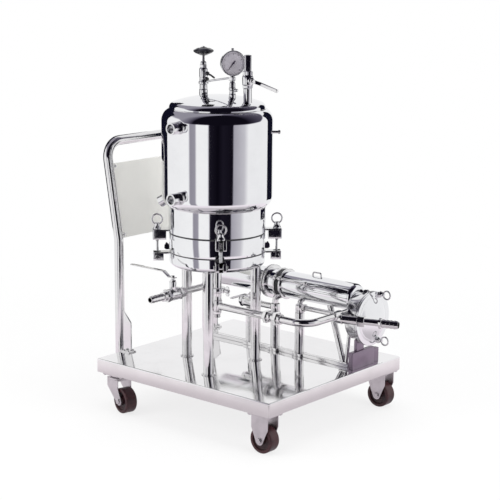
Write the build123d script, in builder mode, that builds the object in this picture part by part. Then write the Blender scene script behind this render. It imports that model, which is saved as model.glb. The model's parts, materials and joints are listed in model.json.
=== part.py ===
# Plate filter press on a trolley: jacketed pressure tank over a clamped plate drum,
# with a side housing and stainless pipework, all on a castored deck.
# Units are millimetres and +Z is up. +X runs along the deck away from the push handle.
# +Y runs across the deck away from the hose outlet. The floor is z = 0.

import os
from math import atan2, copysign, cos, degrees, radians, sin, sqrt

from build123d import *

os.makedirs("parts", exist_ok=True)

# Deck and height
DECK_X = 876.0
DECK_Y = 814.0
DECK_TOP = 204.0
SKIRT = 54.0
SHEET = 3.0
LIP = 16.0
SEAT = 0.3

# Castors
WHEEL_R = 50.0
WHEEL_W = 48.0
AXLE_R = 6.0
RUN_GAP = 0.05
FORK_GAP = 4.0
FORK_T = 4.0
PLATE_T = 5.0
FIXED_INSET_X = 56.0
CASTOR_INSET_Y = 46.0
SWIVEL_INSET_X = 77.0
TRAIL = 44.0
SWIVEL_TURN = -13.0
RACE_R = 33.0
KING_R = 8.0

# Vessel axis on the deck
TANK_X = -42.0
TANK_Y = -144.0

# Vessel shells, stacked upwards from the drum's underside
BASE_Z = 600.0
BASE_H = 54.0
RING_H = 73.0
BAND_H = 100.0
CUFF_H = 42.0
JACKET_H = 281.0
SHOULDER_H = 46.0
NECK_H = 8.0
HEAD_H = 42.0
DRUM_R = 184.0
DRUM_EDGE = 18.0
WALL = 5.0
JACKET_OUT = 26.0
JACKET_T = 3.0
NECK_IN = 3.0
KNUCKLE = 20.0
SEAM = 4.0
SEAM_DEEP = 3.0

# Legs
LEG_R = 20.0
LEG_WALL = 2.0
LEG_IN = 26.0
LEG_ANGLES = (180.0, -60.0, 60.0)
FOOT_R = 27.0
FOOT_T = 4.0

# Swing-bolt clamps, measured outwards from the drum
CLAMP_ANGLES = (-135.0, -45.0, 45.0, 135.0)
RING_TURNS = (0.0, 90.0, 0.0, 0.0)
CLAMP_OUT = 44.0
LUG_W = 40.0
LUG_H = 33.0
LUG_UP_OUT = (10.0, 62.0)
LUG_LOW_OUT = (20.0, 60.0)
LUG_UP_DROP = 29.0
LUG_LOW_RISE = 18.0
TAB_T = 7.0
SLOT_W = 14.0
BOLT_R = 6.0
PIVOT_R = 5.0
PIVOT_UP = 15.0
RING_R = 19.5
RING_T = 3.2
EAR_OUT = 18.0
EAR_H = 30.0
EAR_T = 6.0

# Jacket sockets
SOCKET_R = 22.5
SOCKET_BORE = 16.0
SOCKET_OUT = 47.0
SOCKET_DOWN = 10.0
SOCKET_UP = 10.0
DRAIN_ANGLE = -163.0
DRAIN_OUT = 42.0
STUB_R = 5.5
STUB_DOWN = 90.0

# Fittings on the dome, with heights above its top
VENT_X = -112.0
VENT_R = 16.0
VENT_UP = 120.0
SPINDLE_R = 4.5
HANDWHEEL_R = 39.0
HANDWHEEL_UP = 157.0
GAUGE_X = 32.0
GAUGE_UP = 121.0
GAUGE_R = 47.0
GAUGE_T = 28.0
GAUGE_AIM = -32.0
LINK_UP = 44.0
AIR_X = 106.0
AIR_UP = 62.0
AIR_TOP_UP = 155.0
AIR_AIM = -15.0
AIR_DROOP = 22.0
AIR_LEVER = 116.0

# Outlet line towards -Y
OUT_Z = 523.0
OUT_DROP_Y = -196.0
OUT_VALVE_Y = -391.0
OUT_END_Y = -513.0
PIPE_R = 12.7
PIPE_BORE = 10.7
VALVE_LEN = 92.0
VALVE_R = 23.0
BALL_LEN = 20.0
LEVER_UP = 80.0
OUT_LEVER = 218.0

# Centre outlet and the main line
MAIN_Z = 434.0
MAIN_R = 14.5
MAIN_BORE = 12.5
MAIN_X = 397.0
TAIL_Y = 36.0
TAIL_DROP = 10.0
TAIL_AIM = 17.0
TAIL_LEN = 244.0
BEND = 48.0
CENTRE_R = 17.0
DRAIN_LOW = 388.0
FERRULE_Z = 498.0
TEE_X = 232.0
UNION_X = 198.0

# Side housing, its end chamber and supports
HOUSE_Y = 190.0
HOUSE_Z = 473.0
HOUSE_R = 53.0
HOUSE_X0 = -325.0
HOUSE_X1 = 386.0
BAND_X = 6.0
FLANGE_X = -52.0
CHAMBER_Z = 403.0
CHAMBER_R = 92.0
CHAMBER_L = 60.0
COVER_R = 105.0
COVER_T = 10.0
DISH = 24.0
END_BOLT_R = 98.0
END_BOLT_ANGLES = (116.0, -112.0)
RAIL_Y = 150.0
RAIL_T = 14.0
RAIL_W = 22.0
RAIL_X0 = -330.0
RAIL_X1 = 378.0
POST_R = 19.0
POST_XS = (-122.0, 8.0, 132.0)
SIDE_VALVE_Z = 381.0
BRANCH_Z = 402.0
BRANCH_R = 10.0
STAND_X = 357.0

# Push handle and board
HANDLE_R = 19.0
HANDLE_BORE = 16.5
HANDLE_HALF = 258.0
HANDLE_KNEE = 652.0
HANDLE_TOP = 1034.0
HANDLE_LEAN = 0.174
HANDLE_BEND = 75.0
GUSSET_H = 172.0
GUSSET_W = 46.0
BOARD_T = 3.0
BOARD_LOW = 656.0
BOARD_HIGH = 948.0

# Heights and radii that follow from the values above
SEAM_LOW = BASE_Z + BASE_H
SEAM_MID = SEAM_LOW + RING_H
BAND_TOP = SEAM_MID + BAND_H
JACKET_LOW = BAND_TOP + CUFF_H
JACKET_HIGH = JACKET_LOW + JACKET_H
SHOULDER_Z = JACKET_HIGH + SHOULDER_H
NECK_Z = SHOULDER_Z + NECK_H
DOME_Z = NECK_Z + HEAD_H
JACKET_R = DRUM_R + JACKET_OUT
NECK_R = DRUM_R - NECK_IN
CLAMP_R = DRUM_R + CLAMP_OUT

# The frame's origin is the middle of the whole outline on the floor
HANDLE_OUT = DECK_X / 2 + HANDLE_R + 1.0
HANDLE_TOP_X = -HANDLE_OUT - (HANDLE_TOP - HANDLE_KNEE) * HANDLE_LEAN
TAIL_END_X = MAIN_X + TAIL_LEN * cos(radians(TAIL_AIM)) + (MAIN_R + 1.5) * sin(radians(TAIL_AIM))
OX = -(TAIL_END_X + HANDLE_TOP_X - HANDLE_R) / 2
OY = -(DECK_Y / 2 + OUT_END_Y) / 2


def at(x, y, z):
    """A point given from the deck's centre, moved into the part's frame."""
    return Vector(x + OX, y + OY, z)


def rod(p, q, r, mode=Mode.ADD):
    """A round bar of radius r between two points."""
    with BuildSketch(Plane(origin=p, z_dir=q - p)) as face:
        Circle(r)
    extrude(face.sketch, amount=(q - p).length, mode=mode)


def pipe(p, q, r, bore):
    """A straight tube between two points."""
    with BuildSketch(Plane(origin=p, z_dir=q - p)) as face:
        Circle(r)
        Circle(bore, mode=Mode.SUBTRACT)
    extrude(face.sketch, amount=(q - p).length)


def lathe(p, d, outline, mode=Mode.ADD):
    """Turn an outline of (radius, height) steps about the line through p along d.
    A step holding two pairs is an arc through the first pair to the second."""
    d = d.normalized()
    side = Vector(0, 0, 1).cross(d)
    if side.length < 0.01:
        side = Vector(1, 0, 0)
    side = side.normalized()
    with BuildSketch(Plane(origin=p, x_dir=side, z_dir=side.cross(d))) as face:
        with BuildLine():
            last = outline[0]
            for step in outline[1:]:
                if isinstance(step[0], tuple):
                    ThreePointArc(last, step[0], step[1])
                    last = step[1]
                else:
                    Line(last, step)
                    last = step
            if last != outline[0]:
                Line(last, outline[0])
        make_face()
    revolve(face.sketch, axis=Axis(p, d), mode=mode)


def bent_pipe(points, r, bore, bend):
    """A tube bent along straight runs with rounded corners."""
    with BuildLine() as path:
        FilletPolyline(*points, radius=bend)
    with BuildSketch(Plane(origin=path.line @ 0, z_dir=path.line % 0)) as face:
        Circle(r)
        if bore > 0:
            Circle(bore, mode=Mode.SUBTRACT)
    sweep(face.sketch, path=path.line)


def cap(r, edge_r, edge_z, top_z):
    """A point of a dished head at radius r: a ball's cap from its edge to its top on the axis."""
    sag = top_z - edge_z
    big = (edge_r * edge_r + sag * sag) / (2 * sag)
    return (r, top_z - big + sqrt(big * big - r * r))


def rounding(wall_r, wall_z, end_r, end_z):
    """Middle point of the arc that leaves an upright wall smoothly and ends at a smaller radius."""
    run = wall_r - end_r
    rise = end_z - wall_z
    big = (run * run + rise * rise) / (2 * run)
    half = atan2(abs(rise), big - run) / 2
    return (wall_r - big + big * cos(half), wall_z + copysign(big * sin(half), rise))


def pan_bottom(r, z):
    """Outline steps of a flat bottom at height z that rounds up into a wall at radius r."""
    flat = r - DRUM_EDGE
    return [(0, z), (flat, z), ((r - DRUM_EDGE * 0.2929, z + DRUM_EDGE * 0.2929), (r, z + DRUM_EDGE))]


def slab(p, sx, sy, sz, mode=Mode.ADD):
    """A box standing on its lower middle point p."""
    with BuildSketch(Plane(origin=p)) as face:
        Rectangle(sx, sy)
    extrude(face.sketch, amount=sz, mode=mode)


def around(angle, r, z):
    """A point at an angle and radius about the tank's axis."""
    return at(TANK_X + r * cos(radians(angle)), TANK_Y + r * sin(radians(angle)), z)


def out_dir(angle, lift=0.0):
    """The direction pointing away from the tank's axis at an angle, tipped up by lift degrees."""
    flat = cos(radians(lift))
    return Vector(flat * cos(radians(angle)), flat * sin(radians(angle)), sin(radians(lift)))


DECK_UNDER = DECK_TOP - SKIRT
AXIS = Vector(0, 0, 1)

# Folded deck tray with a turned-in lip
with BuildPart() as deck_tray:
    slab(at(0, 0, DECK_UNDER), DECK_X, DECK_Y, SKIRT)
    fillet(deck_tray.edges().filter_by(Axis.Z), 4)
    fillet(deck_tray.faces().sort_by(Axis.Z)[-1].edges(), 4)
    slab(at(0, 0, DECK_UNDER + SHEET), DECK_X - 2 * SHEET, DECK_Y - 2 * SHEET, SKIRT - 2 * SHEET, Mode.SUBTRACT)
    slab(at(0, 0, DECK_UNDER), DECK_X - 2 * LIP, DECK_Y - 2 * LIP, SHEET, Mode.SUBTRACT)
deck_tray.part.label = "deck_tray"
export_step(deck_tray.part, "parts/deck_tray.step")

# Box-section rails and cross members under the deck, as separate lengths of tube
RAIL_BOX_Y = DECK_Y / 2 - CASTOR_INSET_Y - 8
RAIL_BOX_W = 70.0
MEMBER_W = 50.0
MEMBER_XS = (-300.0, 0.0, 300.0)
with BuildPart() as underframe:
    for side in (-1, 1):
        slab(at(0, side * RAIL_BOX_Y, DECK_UNDER), DECK_X - 2 * LIP - 1, RAIL_BOX_W, SKIRT - SHEET)
        slab(at(0, side * RAIL_BOX_Y, DECK_UNDER + SHEET), DECK_X, RAIL_BOX_W - 2 * SHEET, SKIRT - 3 * SHEET,
             Mode.SUBTRACT)
    span = 2 * RAIL_BOX_Y - RAIL_BOX_W - 2 * SEAT
    for x in MEMBER_XS:
        slab(at(x, 0, DECK_UNDER + 8), MEMBER_W, span, SKIRT - SHEET - 8)
        slab(at(x, 0, DECK_UNDER + 8 + SHEET), MEMBER_W - 2 * SHEET, span + 2, SKIRT - 3 * SHEET - 8, Mode.SUBTRACT)
underframe.part.label = "underframe"
export_step(underframe.part, "parts/underframe.step")


def fork(base, x_axle, top):
    """Two side plates with an axle, hung from a castor's top at height top.
    base is the castor's own plane on the floor, its x axis along the rolling direction."""
    half = WHEEL_W / 2 + FORK_GAP
    for side in (-1, 1):
        y_low = half if side > 0 else -half - FORK_T
        start = base.from_local_coords(Vector(0, y_low + FORK_T, 0))
        with BuildSketch(Plane(origin=start, x_dir=base.x_dir, z_dir=-base.y_dir)) as face:
            with Locations((0, (top + 96) / 2)):
                Rectangle(76, top - 96)
            with Locations((x_axle, WHEEL_R)):
                Circle(17)
            make_hull()
        extrude(face.sketch, amount=FORK_T)
    p = base.from_local_coords(Vector(x_axle, -half - FORK_T - 5, WHEEL_R))
    q = base.from_local_coords(Vector(x_axle, half + FORK_T + 5, WHEEL_R))
    rod(p, q, AXLE_R)
    for side in (-1, 1):
        p = base.from_local_coords(Vector(x_axle, side * (half + FORK_T), WHEEL_R))
        q = base.from_local_coords(Vector(x_axle, side * (half + FORK_T + 6), WHEEL_R))
        rod(p, q, 10)


FIXED_X = DECK_X / 2 - FIXED_INSET_X
SWIVEL_X = -DECK_X / 2 + SWIVEL_INSET_X
CASTOR_Y = DECK_Y / 2 - CASTOR_INSET_Y

# Fixed castors at the far end
with BuildPart() as fixed_forks:
    for side in (-1, 1):
        base = Plane(origin=at(FIXED_X, side * CASTOR_Y, 0))
        fork(base, 0, DECK_UNDER - PLATE_T)
        slab(at(FIXED_X, side * CASTOR_Y, DECK_UNDER - PLATE_T), 104, 84, PLATE_T)
fixed_forks.part.label = "fixed_forks"
export_step(fixed_forks.part, "parts/fixed_forks.step")

# Swivel castors at the handle end: fixed plates with king pins
with BuildPart() as swivel_plates:
    for side in (-1, 1):
        slab(at(SWIVEL_X, side * CASTOR_Y, DECK_UNDER - PLATE_T), 104, 84, PLATE_T)
        rod(at(SWIVEL_X, side * CASTOR_Y, DECK_UNDER - 12), at(SWIVEL_X, side * CASTOR_Y, DECK_UNDER - PLATE_T), RACE_R)
        rod(at(SWIVEL_X, side * CASTOR_Y, DECK_UNDER - 26), at(SWIVEL_X, side * CASTOR_Y, DECK_UNDER - 12), KING_R)
swivel_plates.part.label = "swivel_plates"
export_step(swivel_plates.part, "parts/swivel_plates.step")

TURN = Vector(cos(radians(SWIVEL_TURN)), sin(radians(SWIVEL_TURN)), 0)
AXLE_DIR = Vector(-sin(radians(SWIVEL_TURN)), cos(radians(SWIVEL_TURN)), 0)


def swivel_fork(side):
    """A swivel castor's fork, trailing along TURN, with its race plate bored for the king pin."""
    spot = at(SWIVEL_X, side * CASTOR_Y, 0)
    fork(Plane(origin=spot, x_dir=TURN, z_dir=(0, 0, 1)), TRAIL, DECK_UNDER - 18)
    with BuildSketch(Plane(origin=spot + AXIS * (DECK_UNDER - 24), x_dir=TURN, z_dir=(0, 0, 1))) as crown:
        Rectangle(76, 64)
        Circle(RACE_R + 3)
    extrude(crown.sketch, amount=11.5)
    rod(spot + AXIS * 90, spot + AXIS * DECK_UNDER, KING_R + RUN_GAP, Mode.SUBTRACT)


with BuildPart() as swivel_fork_near:
    swivel_fork(-1)
swivel_fork_near.part.label = "swivel_fork_near"
export_step(swivel_fork_near.part, "parts/swivel_fork_near.step")

with BuildPart() as swivel_fork_far:
    swivel_fork(1)
swivel_fork_far.part.label = "swivel_fork_far"
export_step(swivel_fork_far.part, "parts/swivel_fork_far.step")


def wheel(p, d):
    """A solid castor wheel with a hub, turned about its axle line."""
    half = WHEEL_W / 2
    hub = half + FORK_GAP - 1
    lathe(p, d, [
        (AXLE_R + RUN_GAP, -hub), (17, -hub), (17, -half + 8), (36, -half + 8), (38, -half),
        (WHEEL_R - 5, -half), ((WHEEL_R - 1.5, -half + 1.5), (WHEEL_R, -half + 5)), (WHEEL_R, half - 5),
        ((WHEEL_R - 1.5, half - 1.5), (WHEEL_R - 5, half)), (38, half), (36, half - 8), (17, half - 8),
        (17, hub), (AXLE_R + RUN_GAP, hub)])


# Wheels: two on the fixed castors, two on the swivel castors
with BuildPart() as wheel_far_end_near:
    wheel(at(FIXED_X, -CASTOR_Y, WHEEL_R), Vector(0, 1, 0))
wheel_far_end_near.part.label = "wheel_far_end_near"
export_step(wheel_far_end_near.part, "parts/wheel_far_end_near.step")

with BuildPart() as wheel_far_end_far:
    wheel(at(FIXED_X, CASTOR_Y, WHEEL_R), Vector(0, 1, 0))
wheel_far_end_far.part.label = "wheel_far_end_far"
export_step(wheel_far_end_far.part, "parts/wheel_far_end_far.step")

with BuildPart() as wheel_handle_near:
    wheel(at(SWIVEL_X, -CASTOR_Y, WHEEL_R) + TURN * TRAIL, AXLE_DIR)
wheel_handle_near.part.label = "wheel_handle_near"
export_step(wheel_handle_near.part, "parts/wheel_handle_near.step")

with BuildPart() as wheel_handle_far:
    wheel(at(SWIVEL_X, CASTOR_Y, WHEEL_R) + TURN * TRAIL, AXLE_DIR)
wheel_handle_far.part.label = "wheel_handle_far"
export_step(wheel_handle_far.part, "parts/wheel_handle_far.step")

TANK = at(TANK_X, TANK_Y, 0)

# Three legs under the vessel, coped to the drum's rounded underside
with BuildPart() as vessel_legs:
    for angle in LEG_ANGLES:
        leg_r = DRUM_R - LEG_IN
        top = BASE_Z + DRUM_EDGE
        pipe(around(angle, leg_r, DECK_TOP), around(angle, leg_r, top), LEG_R, LEG_R - LEG_WALL)
        pipe(around(angle, leg_r, DECK_TOP), around(angle, leg_r, DECK_TOP + FOOT_T), FOOT_R, LEG_R - LEG_WALL)
    lathe(TANK, AXIS, pan_bottom(DRUM_R - 0.95, BASE_Z - RUN_GAP) + [(DRUM_R - 0.95, SEAM_LOW), (0, SEAM_LOW)],
          Mode.SUBTRACT)
vessel_legs.part.label = "vessel_legs"
export_step(vessel_legs.part, "parts/vessel_legs.step")

# Drum base: a shallow pan with two outlet holes
with BuildPart() as drum_base:
    lathe(TANK, AXIS, pan_bottom(DRUM_R - 1, BASE_Z) + [
        (DRUM_R - 1, SEAM_LOW - SEAM), (DRUM_R - SEAM_DEEP - 1, SEAM_LOW - SEAM), (DRUM_R - SEAM_DEEP - 1, SEAM_LOW),
        (DRUM_R - 20, SEAM_LOW), (DRUM_R - 20, BASE_Z + DRUM_EDGE + 6), (0, BASE_Z + 10)])
    rod(TANK + AXIS * (BASE_Z - 1), TANK + AXIS * (BASE_Z + 30), CENTRE_R - 2, Mode.SUBTRACT)
    rod(at(TANK_X, OUT_DROP_Y, BASE_Z - 1), at(TANK_X, OUT_DROP_Y, BASE_Z + 30), PIPE_BORE, Mode.SUBTRACT)
drum_base.part.label = "drum_base"
export_step(drum_base.part, "parts/drum_base.step")

# Plate ring: the removable middle band that holds the filter plates, with an ear at each clamp
with BuildPart() as plate_ring:
    lathe(TANK, AXIS, [
        (DRUM_R - 20, SEAM_LOW), (DRUM_R - SEAM_DEEP, SEAM_LOW), (DRUM_R - SEAM_DEEP, SEAM_LOW + 1),
        (DRUM_R, SEAM_LOW + 1), (DRUM_R, SEAM_MID - SEAM), (DRUM_R - SEAM_DEEP, SEAM_MID - SEAM),
        (DRUM_R - SEAM_DEEP, SEAM_MID), (DRUM_R - 20, SEAM_MID)])
    for angle in CLAMP_ANGLES:
        foot = around(angle, DRUM_R, SEAM_LOW + 3) + out_dir(angle + 90) * EAR_T / 2
        with BuildSketch(Plane(origin=foot, x_dir=out_dir(angle), z_dir=-out_dir(angle + 90))) as ear:
            with BuildLine():
                Polyline((-2, 0), (EAR_OUT - 6, 0), (EAR_OUT, 6), (EAR_OUT, EAR_H * 0.55), (EAR_OUT - 8, EAR_H),
                         (-2, EAR_H * 0.6), close=True)
            make_face()
        extrude(ear.sketch, amount=EAR_T)
plate_ring.part.label = "plate_ring"
export_step(plate_ring.part, "parts/plate_ring.step")

HEAD_R = NECK_R - KNUCKLE
HEAD_Z = NECK_Z + HEAD_H * 0.4
KNUCKLE_MID = (NECK_R - KNUCKLE * 0.27, NECK_Z + HEAD_H * 0.27)

# Inner tank: clamping band, plain shell and dished head, with holes for the fittings
with BuildPart() as inner_tank:
    lathe(TANK, AXIS, [
        (DRUM_R - 20, SEAM_MID), (DRUM_R - SEAM_DEEP, SEAM_MID), (DRUM_R - SEAM_DEEP, SEAM_MID + 1),
        (DRUM_R + 1, SEAM_MID + 1), (DRUM_R + 1, BAND_TOP), (NECK_R, BAND_TOP), (NECK_R, NECK_Z),
        (KNUCKLE_MID, (HEAD_R, HEAD_Z)),
        (cap(HEAD_R / 2, HEAD_R, HEAD_Z, DOME_Z), (0, DOME_Z)), (0, DOME_Z - WALL),
        (cap(HEAD_R / 2, HEAD_R - 1, HEAD_Z - WALL, DOME_Z - WALL), (HEAD_R - 1, HEAD_Z - WALL)),
        (NECK_R - WALL, NECK_Z - 2), (NECK_R - WALL, BAND_TOP - 6), (DRUM_R - 20, BAND_TOP - 20)])
    for x in (VENT_X, GAUGE_X, AIR_X):
        rod(at(x, TANK_Y, SHOULDER_Z), at(x, TANK_Y, DOME_Z + 10), 8, Mode.SUBTRACT)
inner_tank.part.label = "inner_tank"
export_step(inner_tank.part, "parts/inner_tank.step")

SOCKET_HIGH_Z = JACKET_HIGH - SOCKET_DOWN
SOCKET_LOW_Z = JACKET_LOW + SOCKET_UP
STUB_Z = SHOULDER_Z - STUB_DOWN
INNER_R = JACKET_R - JACKET_T
FOOT_OF_JACKET = (DRUM_R + 1, BAND_TOP)
DRAIN_DIP = -degrees(atan2(JACKET_OUT - 1, CUFF_H))
DRAIN_MID = rounding(JACKET_R, JACKET_LOW, DRUM_R + 1, BAND_TOP)
drain_spot = around(DRAIN_ANGLE, DRAIN_MID[0], DRAIN_MID[1])
drain_dir = out_dir(DRAIN_ANGLE, DRAIN_DIP)

# Heating jacket round the tank, rounded in at both ends
with BuildPart() as heating_jacket:
    lathe(TANK, AXIS, [
        FOOT_OF_JACKET, (DRAIN_MID, (JACKET_R, JACKET_LOW)), (JACKET_R, JACKET_HIGH),
        (rounding(JACKET_R, JACKET_HIGH, NECK_R, SHOULDER_Z), (NECK_R, SHOULDER_Z)), (NECK_R, SHOULDER_Z - 4),
        (rounding(INNER_R, JACKET_HIGH, NECK_R, SHOULDER_Z - 4), (INNER_R, JACKET_HIGH)), (INNER_R, JACKET_LOW),
        (rounding(INNER_R, JACKET_LOW, DRUM_R - 2, BAND_TOP), (DRUM_R - 2, BAND_TOP))])
    for z in (SOCKET_HIGH_Z, SOCKET_LOW_Z):
        rod(around(-90, NECK_R + 8, z), around(-90, JACKET_R + 10, z), SOCKET_R + RUN_GAP, Mode.SUBTRACT)
    rod(drain_spot - drain_dir * 12, drain_spot + drain_dir * 20, SOCKET_BORE, Mode.SUBTRACT)
    rod(around(42, NECK_R + 10, STUB_Z), around(42, JACKET_R + 10, STUB_Z), STUB_R + RUN_GAP, Mode.SUBTRACT)
heating_jacket.part.label = "heating_jacket"
export_step(heating_jacket.part, "parts/heating_jacket.step")

# Threaded sockets on the jacket, a drain on its rounded foot and a small vent
with BuildPart() as jacket_sockets:
    pipe(drain_spot - drain_dir * 16, drain_spot + drain_dir * DRAIN_OUT, SOCKET_R, SOCKET_BORE)
    skin = JACKET_R + RUN_GAP
    band = DRUM_R + 1 + RUN_GAP
    lathe(TANK, AXIS, [
        (0, BAND_TOP - 20), (band, BAND_TOP - 20), (band, BAND_TOP),
        (rounding(skin, JACKET_LOW, band, BAND_TOP), (skin, JACKET_LOW)), (skin, JACKET_LOW + 30), (0, JACKET_LOW + 30)],
        Mode.SUBTRACT)
    for z in (SOCKET_HIGH_Z, SOCKET_LOW_Z):
        pipe(around(-90, JACKET_R - 8, z), around(-90, JACKET_R + SOCKET_OUT, z), SOCKET_R, SOCKET_BORE)
    pipe(around(42, JACKET_R - 8, STUB_Z), around(42, JACKET_R + 27, STUB_Z), STUB_R, STUB_R - 2)
jacket_sockets.part.label = "jacket_sockets"
export_step(jacket_sockets.part, "parts/jacket_sockets.step")


def lug(angle, r_in, r_out, z, tab_low, skin, slot_in):
    """A clamp lug: a slotted block held to the drum by a flat tab."""
    here = Plane(origin=around(angle, 0, 0), x_dir=out_dir(angle), z_dir=(0, 0, 1))
    with BuildSketch(here.offset(z)) as block:
        with Locations(((r_in + r_out) / 2, 0)):
            Rectangle(r_out - r_in, LUG_W)
    extrude(block.sketch, amount=LUG_H)
    with BuildSketch(here.offset(tab_low)) as tab:
        with Locations(((skin + r_out) / 2, 0)):
            Rectangle(r_out - skin, LUG_W)
    extrude(tab.sketch, amount=TAB_T)
    with BuildSketch(here.offset(z - 1)) as slot:
        with Locations(((slot_in + r_out + 10) / 2, 0)):
            Rectangle(r_out + 10 - slot_in, SLOT_W)
    extrude(slot.sketch, amount=LUG_H + 2 * TAB_T + 2, mode=Mode.SUBTRACT)


LUG_UP_Z = SEAM_MID - LUG_UP_DROP
LUG_LOW_Z = BASE_Z + LUG_LOW_RISE
PIVOT_Z = LUG_LOW_Z + PIVOT_UP
UP_IN = DRUM_R + LUG_UP_OUT[0]
UP_OUT = DRUM_R + LUG_UP_OUT[1]
LOW_IN = DRUM_R + LUG_LOW_OUT[0]
LOW_OUT = DRUM_R + LUG_LOW_OUT[1]
TAB_UP_Z = max(LUG_UP_Z + LUG_H - 1, SEAM_MID + 1)
TAB_LOW_Z = min(LUG_LOW_Z + LUG_H - TAB_T, SEAM_LOW - SEAM - TAB_T)

# Upper lugs hang from the tank's band
with BuildPart() as upper_lugs:
    for angle in CLAMP_ANGLES:
        lug(angle, UP_IN, UP_OUT, LUG_UP_Z, TAB_UP_Z, DRUM_R - 6, CLAMP_R - 8)
    rod(TANK + AXIS * 500, TANK + AXIS * 900, DRUM_R + 1.05, Mode.SUBTRACT)
upper_lugs.part.label = "upper_lugs"
export_step(upper_lugs.part, "parts/upper_lugs.step")

# Lower lugs stand out from the drum base
with BuildPart() as lower_lugs:
    for angle in CLAMP_ANGLES:
        lug(angle, LOW_IN, LOW_OUT, LUG_LOW_Z, TAB_LOW_Z, DRUM_R - 6, CLAMP_R - 11)
        pivot = around(angle, CLAMP_R, PIVOT_Z)
        rod(pivot - out_dir(angle + 90) * LUG_W / 2, pivot + out_dir(angle + 90) * LUG_W / 2, PIVOT_R)
    rod(TANK + AXIS * 500, TANK + AXIS * 900, DRUM_R - 0.95, Mode.SUBTRACT)
lower_lugs.part.label = "lower_lugs"
export_step(lower_lugs.part, "parts/lower_lugs.step")

SEAT_Z = TAB_UP_Z + TAB_T
# Swing bolts with ring nuts, standing tightened
with BuildPart() as swing_bolts:
    for angle, turn in zip(CLAMP_ANGLES, RING_TURNS):
        across = out_dir(angle + 90)
        foot = around(angle, CLAMP_R, PIVOT_Z)
        rod(foot, around(angle, CLAMP_R, SEAT_Z + 8), BOLT_R)
        rod(foot - across * 6.5, foot + across * 6.5, 10)
        rod(foot - across * 7, foot + across * 7, PIVOT_R + RUN_GAP, Mode.SUBTRACT)
        seat = around(angle, CLAMP_R, SEAT_Z)
        lathe(seat, AXIS, [(0, 0), (15, 0), (15, 4), (12, 10), (9, 22), (0, 22)])
        ring = seat + AXIS * (18 + RING_R)
        lathe(ring, out_dir(angle + 90 - turn), [
            (RING_R - RING_T, 0), ((RING_R, RING_T), (RING_R + RING_T, 0)), ((RING_R, -RING_T), (RING_R - RING_T, 0))])
swing_bolts.part.label = "swing_bolts"
export_step(swing_bolts.part, "parts/swing_bolts.step")


def dome_height(x):
    """Height of the dished head's outside above the floor at x on the tank's middle line."""
    return cap(abs(x - TANK_X), HEAD_R, HEAD_Z, DOME_Z)[1]


def trim_to_dome():
    """Cut a fitting's foot to the shape of the dished head."""
    lathe(TANK, AXIS, [
        (0, SHOULDER_Z - 60), (NECK_R + RUN_GAP, SHOULDER_Z - 60), (NECK_R + RUN_GAP, NECK_Z),
        ((KNUCKLE_MID[0] + RUN_GAP, KNUCKLE_MID[1] + RUN_GAP), (HEAD_R, HEAD_Z + RUN_GAP)),
        (cap(HEAD_R / 2, HEAD_R, HEAD_Z + RUN_GAP, DOME_Z + RUN_GAP), (0, DOME_Z + RUN_GAP))], Mode.SUBTRACT)


# Vent valve body on the dome, with its small side lever and the link to the gauge's block
with BuildPart() as vent_body:
    low = dome_height(VENT_X) - 1
    up = DOME_Z + VENT_UP
    lathe(at(VENT_X, TANK_Y, 0), AXIS, [
        (5, low), (VENT_R, low), (VENT_R, DOME_Z + 36), (VENT_R + 2.5, DOME_Z + 36), (VENT_R + 2.5, DOME_Z + 44),
        (VENT_R, DOME_Z + 44), (VENT_R, up - 26), (VENT_R - 4, up - 22), (VENT_R - 4, up),
        (SPINDLE_R + RUN_GAP, up), (SPINDLE_R + RUN_GAP, up - 26), (5, up - 26)])
    rod(at(VENT_X + 12, TANK_Y, DOME_Z + 75), at(VENT_X + 24, TANK_Y, DOME_Z + 75), 7)
    rod(at(VENT_X + 20, TANK_Y, DOME_Z + 74), at(VENT_X + 54, TANK_Y, DOME_Z + 62), 3.5)
    rod(at(VENT_X + 12, TANK_Y, DOME_Z + LINK_UP), at(GAUGE_X, TANK_Y, DOME_Z + LINK_UP + 22), 4)
    rod(at(GAUGE_X, TANK_Y, DOME_Z), at(GAUGE_X, TANK_Y, DOME_Z + 90), 13 + RUN_GAP, Mode.SUBTRACT)
    trim_to_dome()
vent_body.part.label = "vent_body"
export_step(vent_body.part, "parts/vent_body.step")

# Handwheel on its spindle: six lobes, thinner towards the rim
with BuildPart() as handwheel:
    hub = at(VENT_X, TANK_Y, 0)
    wheel_z = DOME_Z + HANDWHEEL_UP
    with BuildSketch(Plane(origin=hub + AXIS * (wheel_z - 14))) as lobes:
        Circle(HANDWHEEL_R - 7)
        with PolarLocations(HANDWHEEL_R - 11, 6):
            Circle(11)
    extrude(lobes.sketch, amount=30)
    lathe(hub, AXIS, [
        (13, wheel_z - 16), (HANDWHEEL_R + 2, wheel_z - 7), (HANDWHEEL_R + 2, wheel_z - 18), (13, wheel_z - 18)],
        Mode.SUBTRACT)
    lathe(hub, AXIS, [
        (22, wheel_z + 16.5), (HANDWHEEL_R + 2, wheel_z + 10), (HANDWHEEL_R + 2, wheel_z + 17), (22, wheel_z + 17)],
        Mode.SUBTRACT)
    rod(hub + AXIS * (DOME_Z + VENT_UP - 24), hub + AXIS * wheel_z, SPINDLE_R)
handwheel.part.label = "handwheel"
export_step(handwheel.part, "parts/handwheel.step")

GAUGE_DIR = out_dir(GAUGE_AIM)
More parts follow.
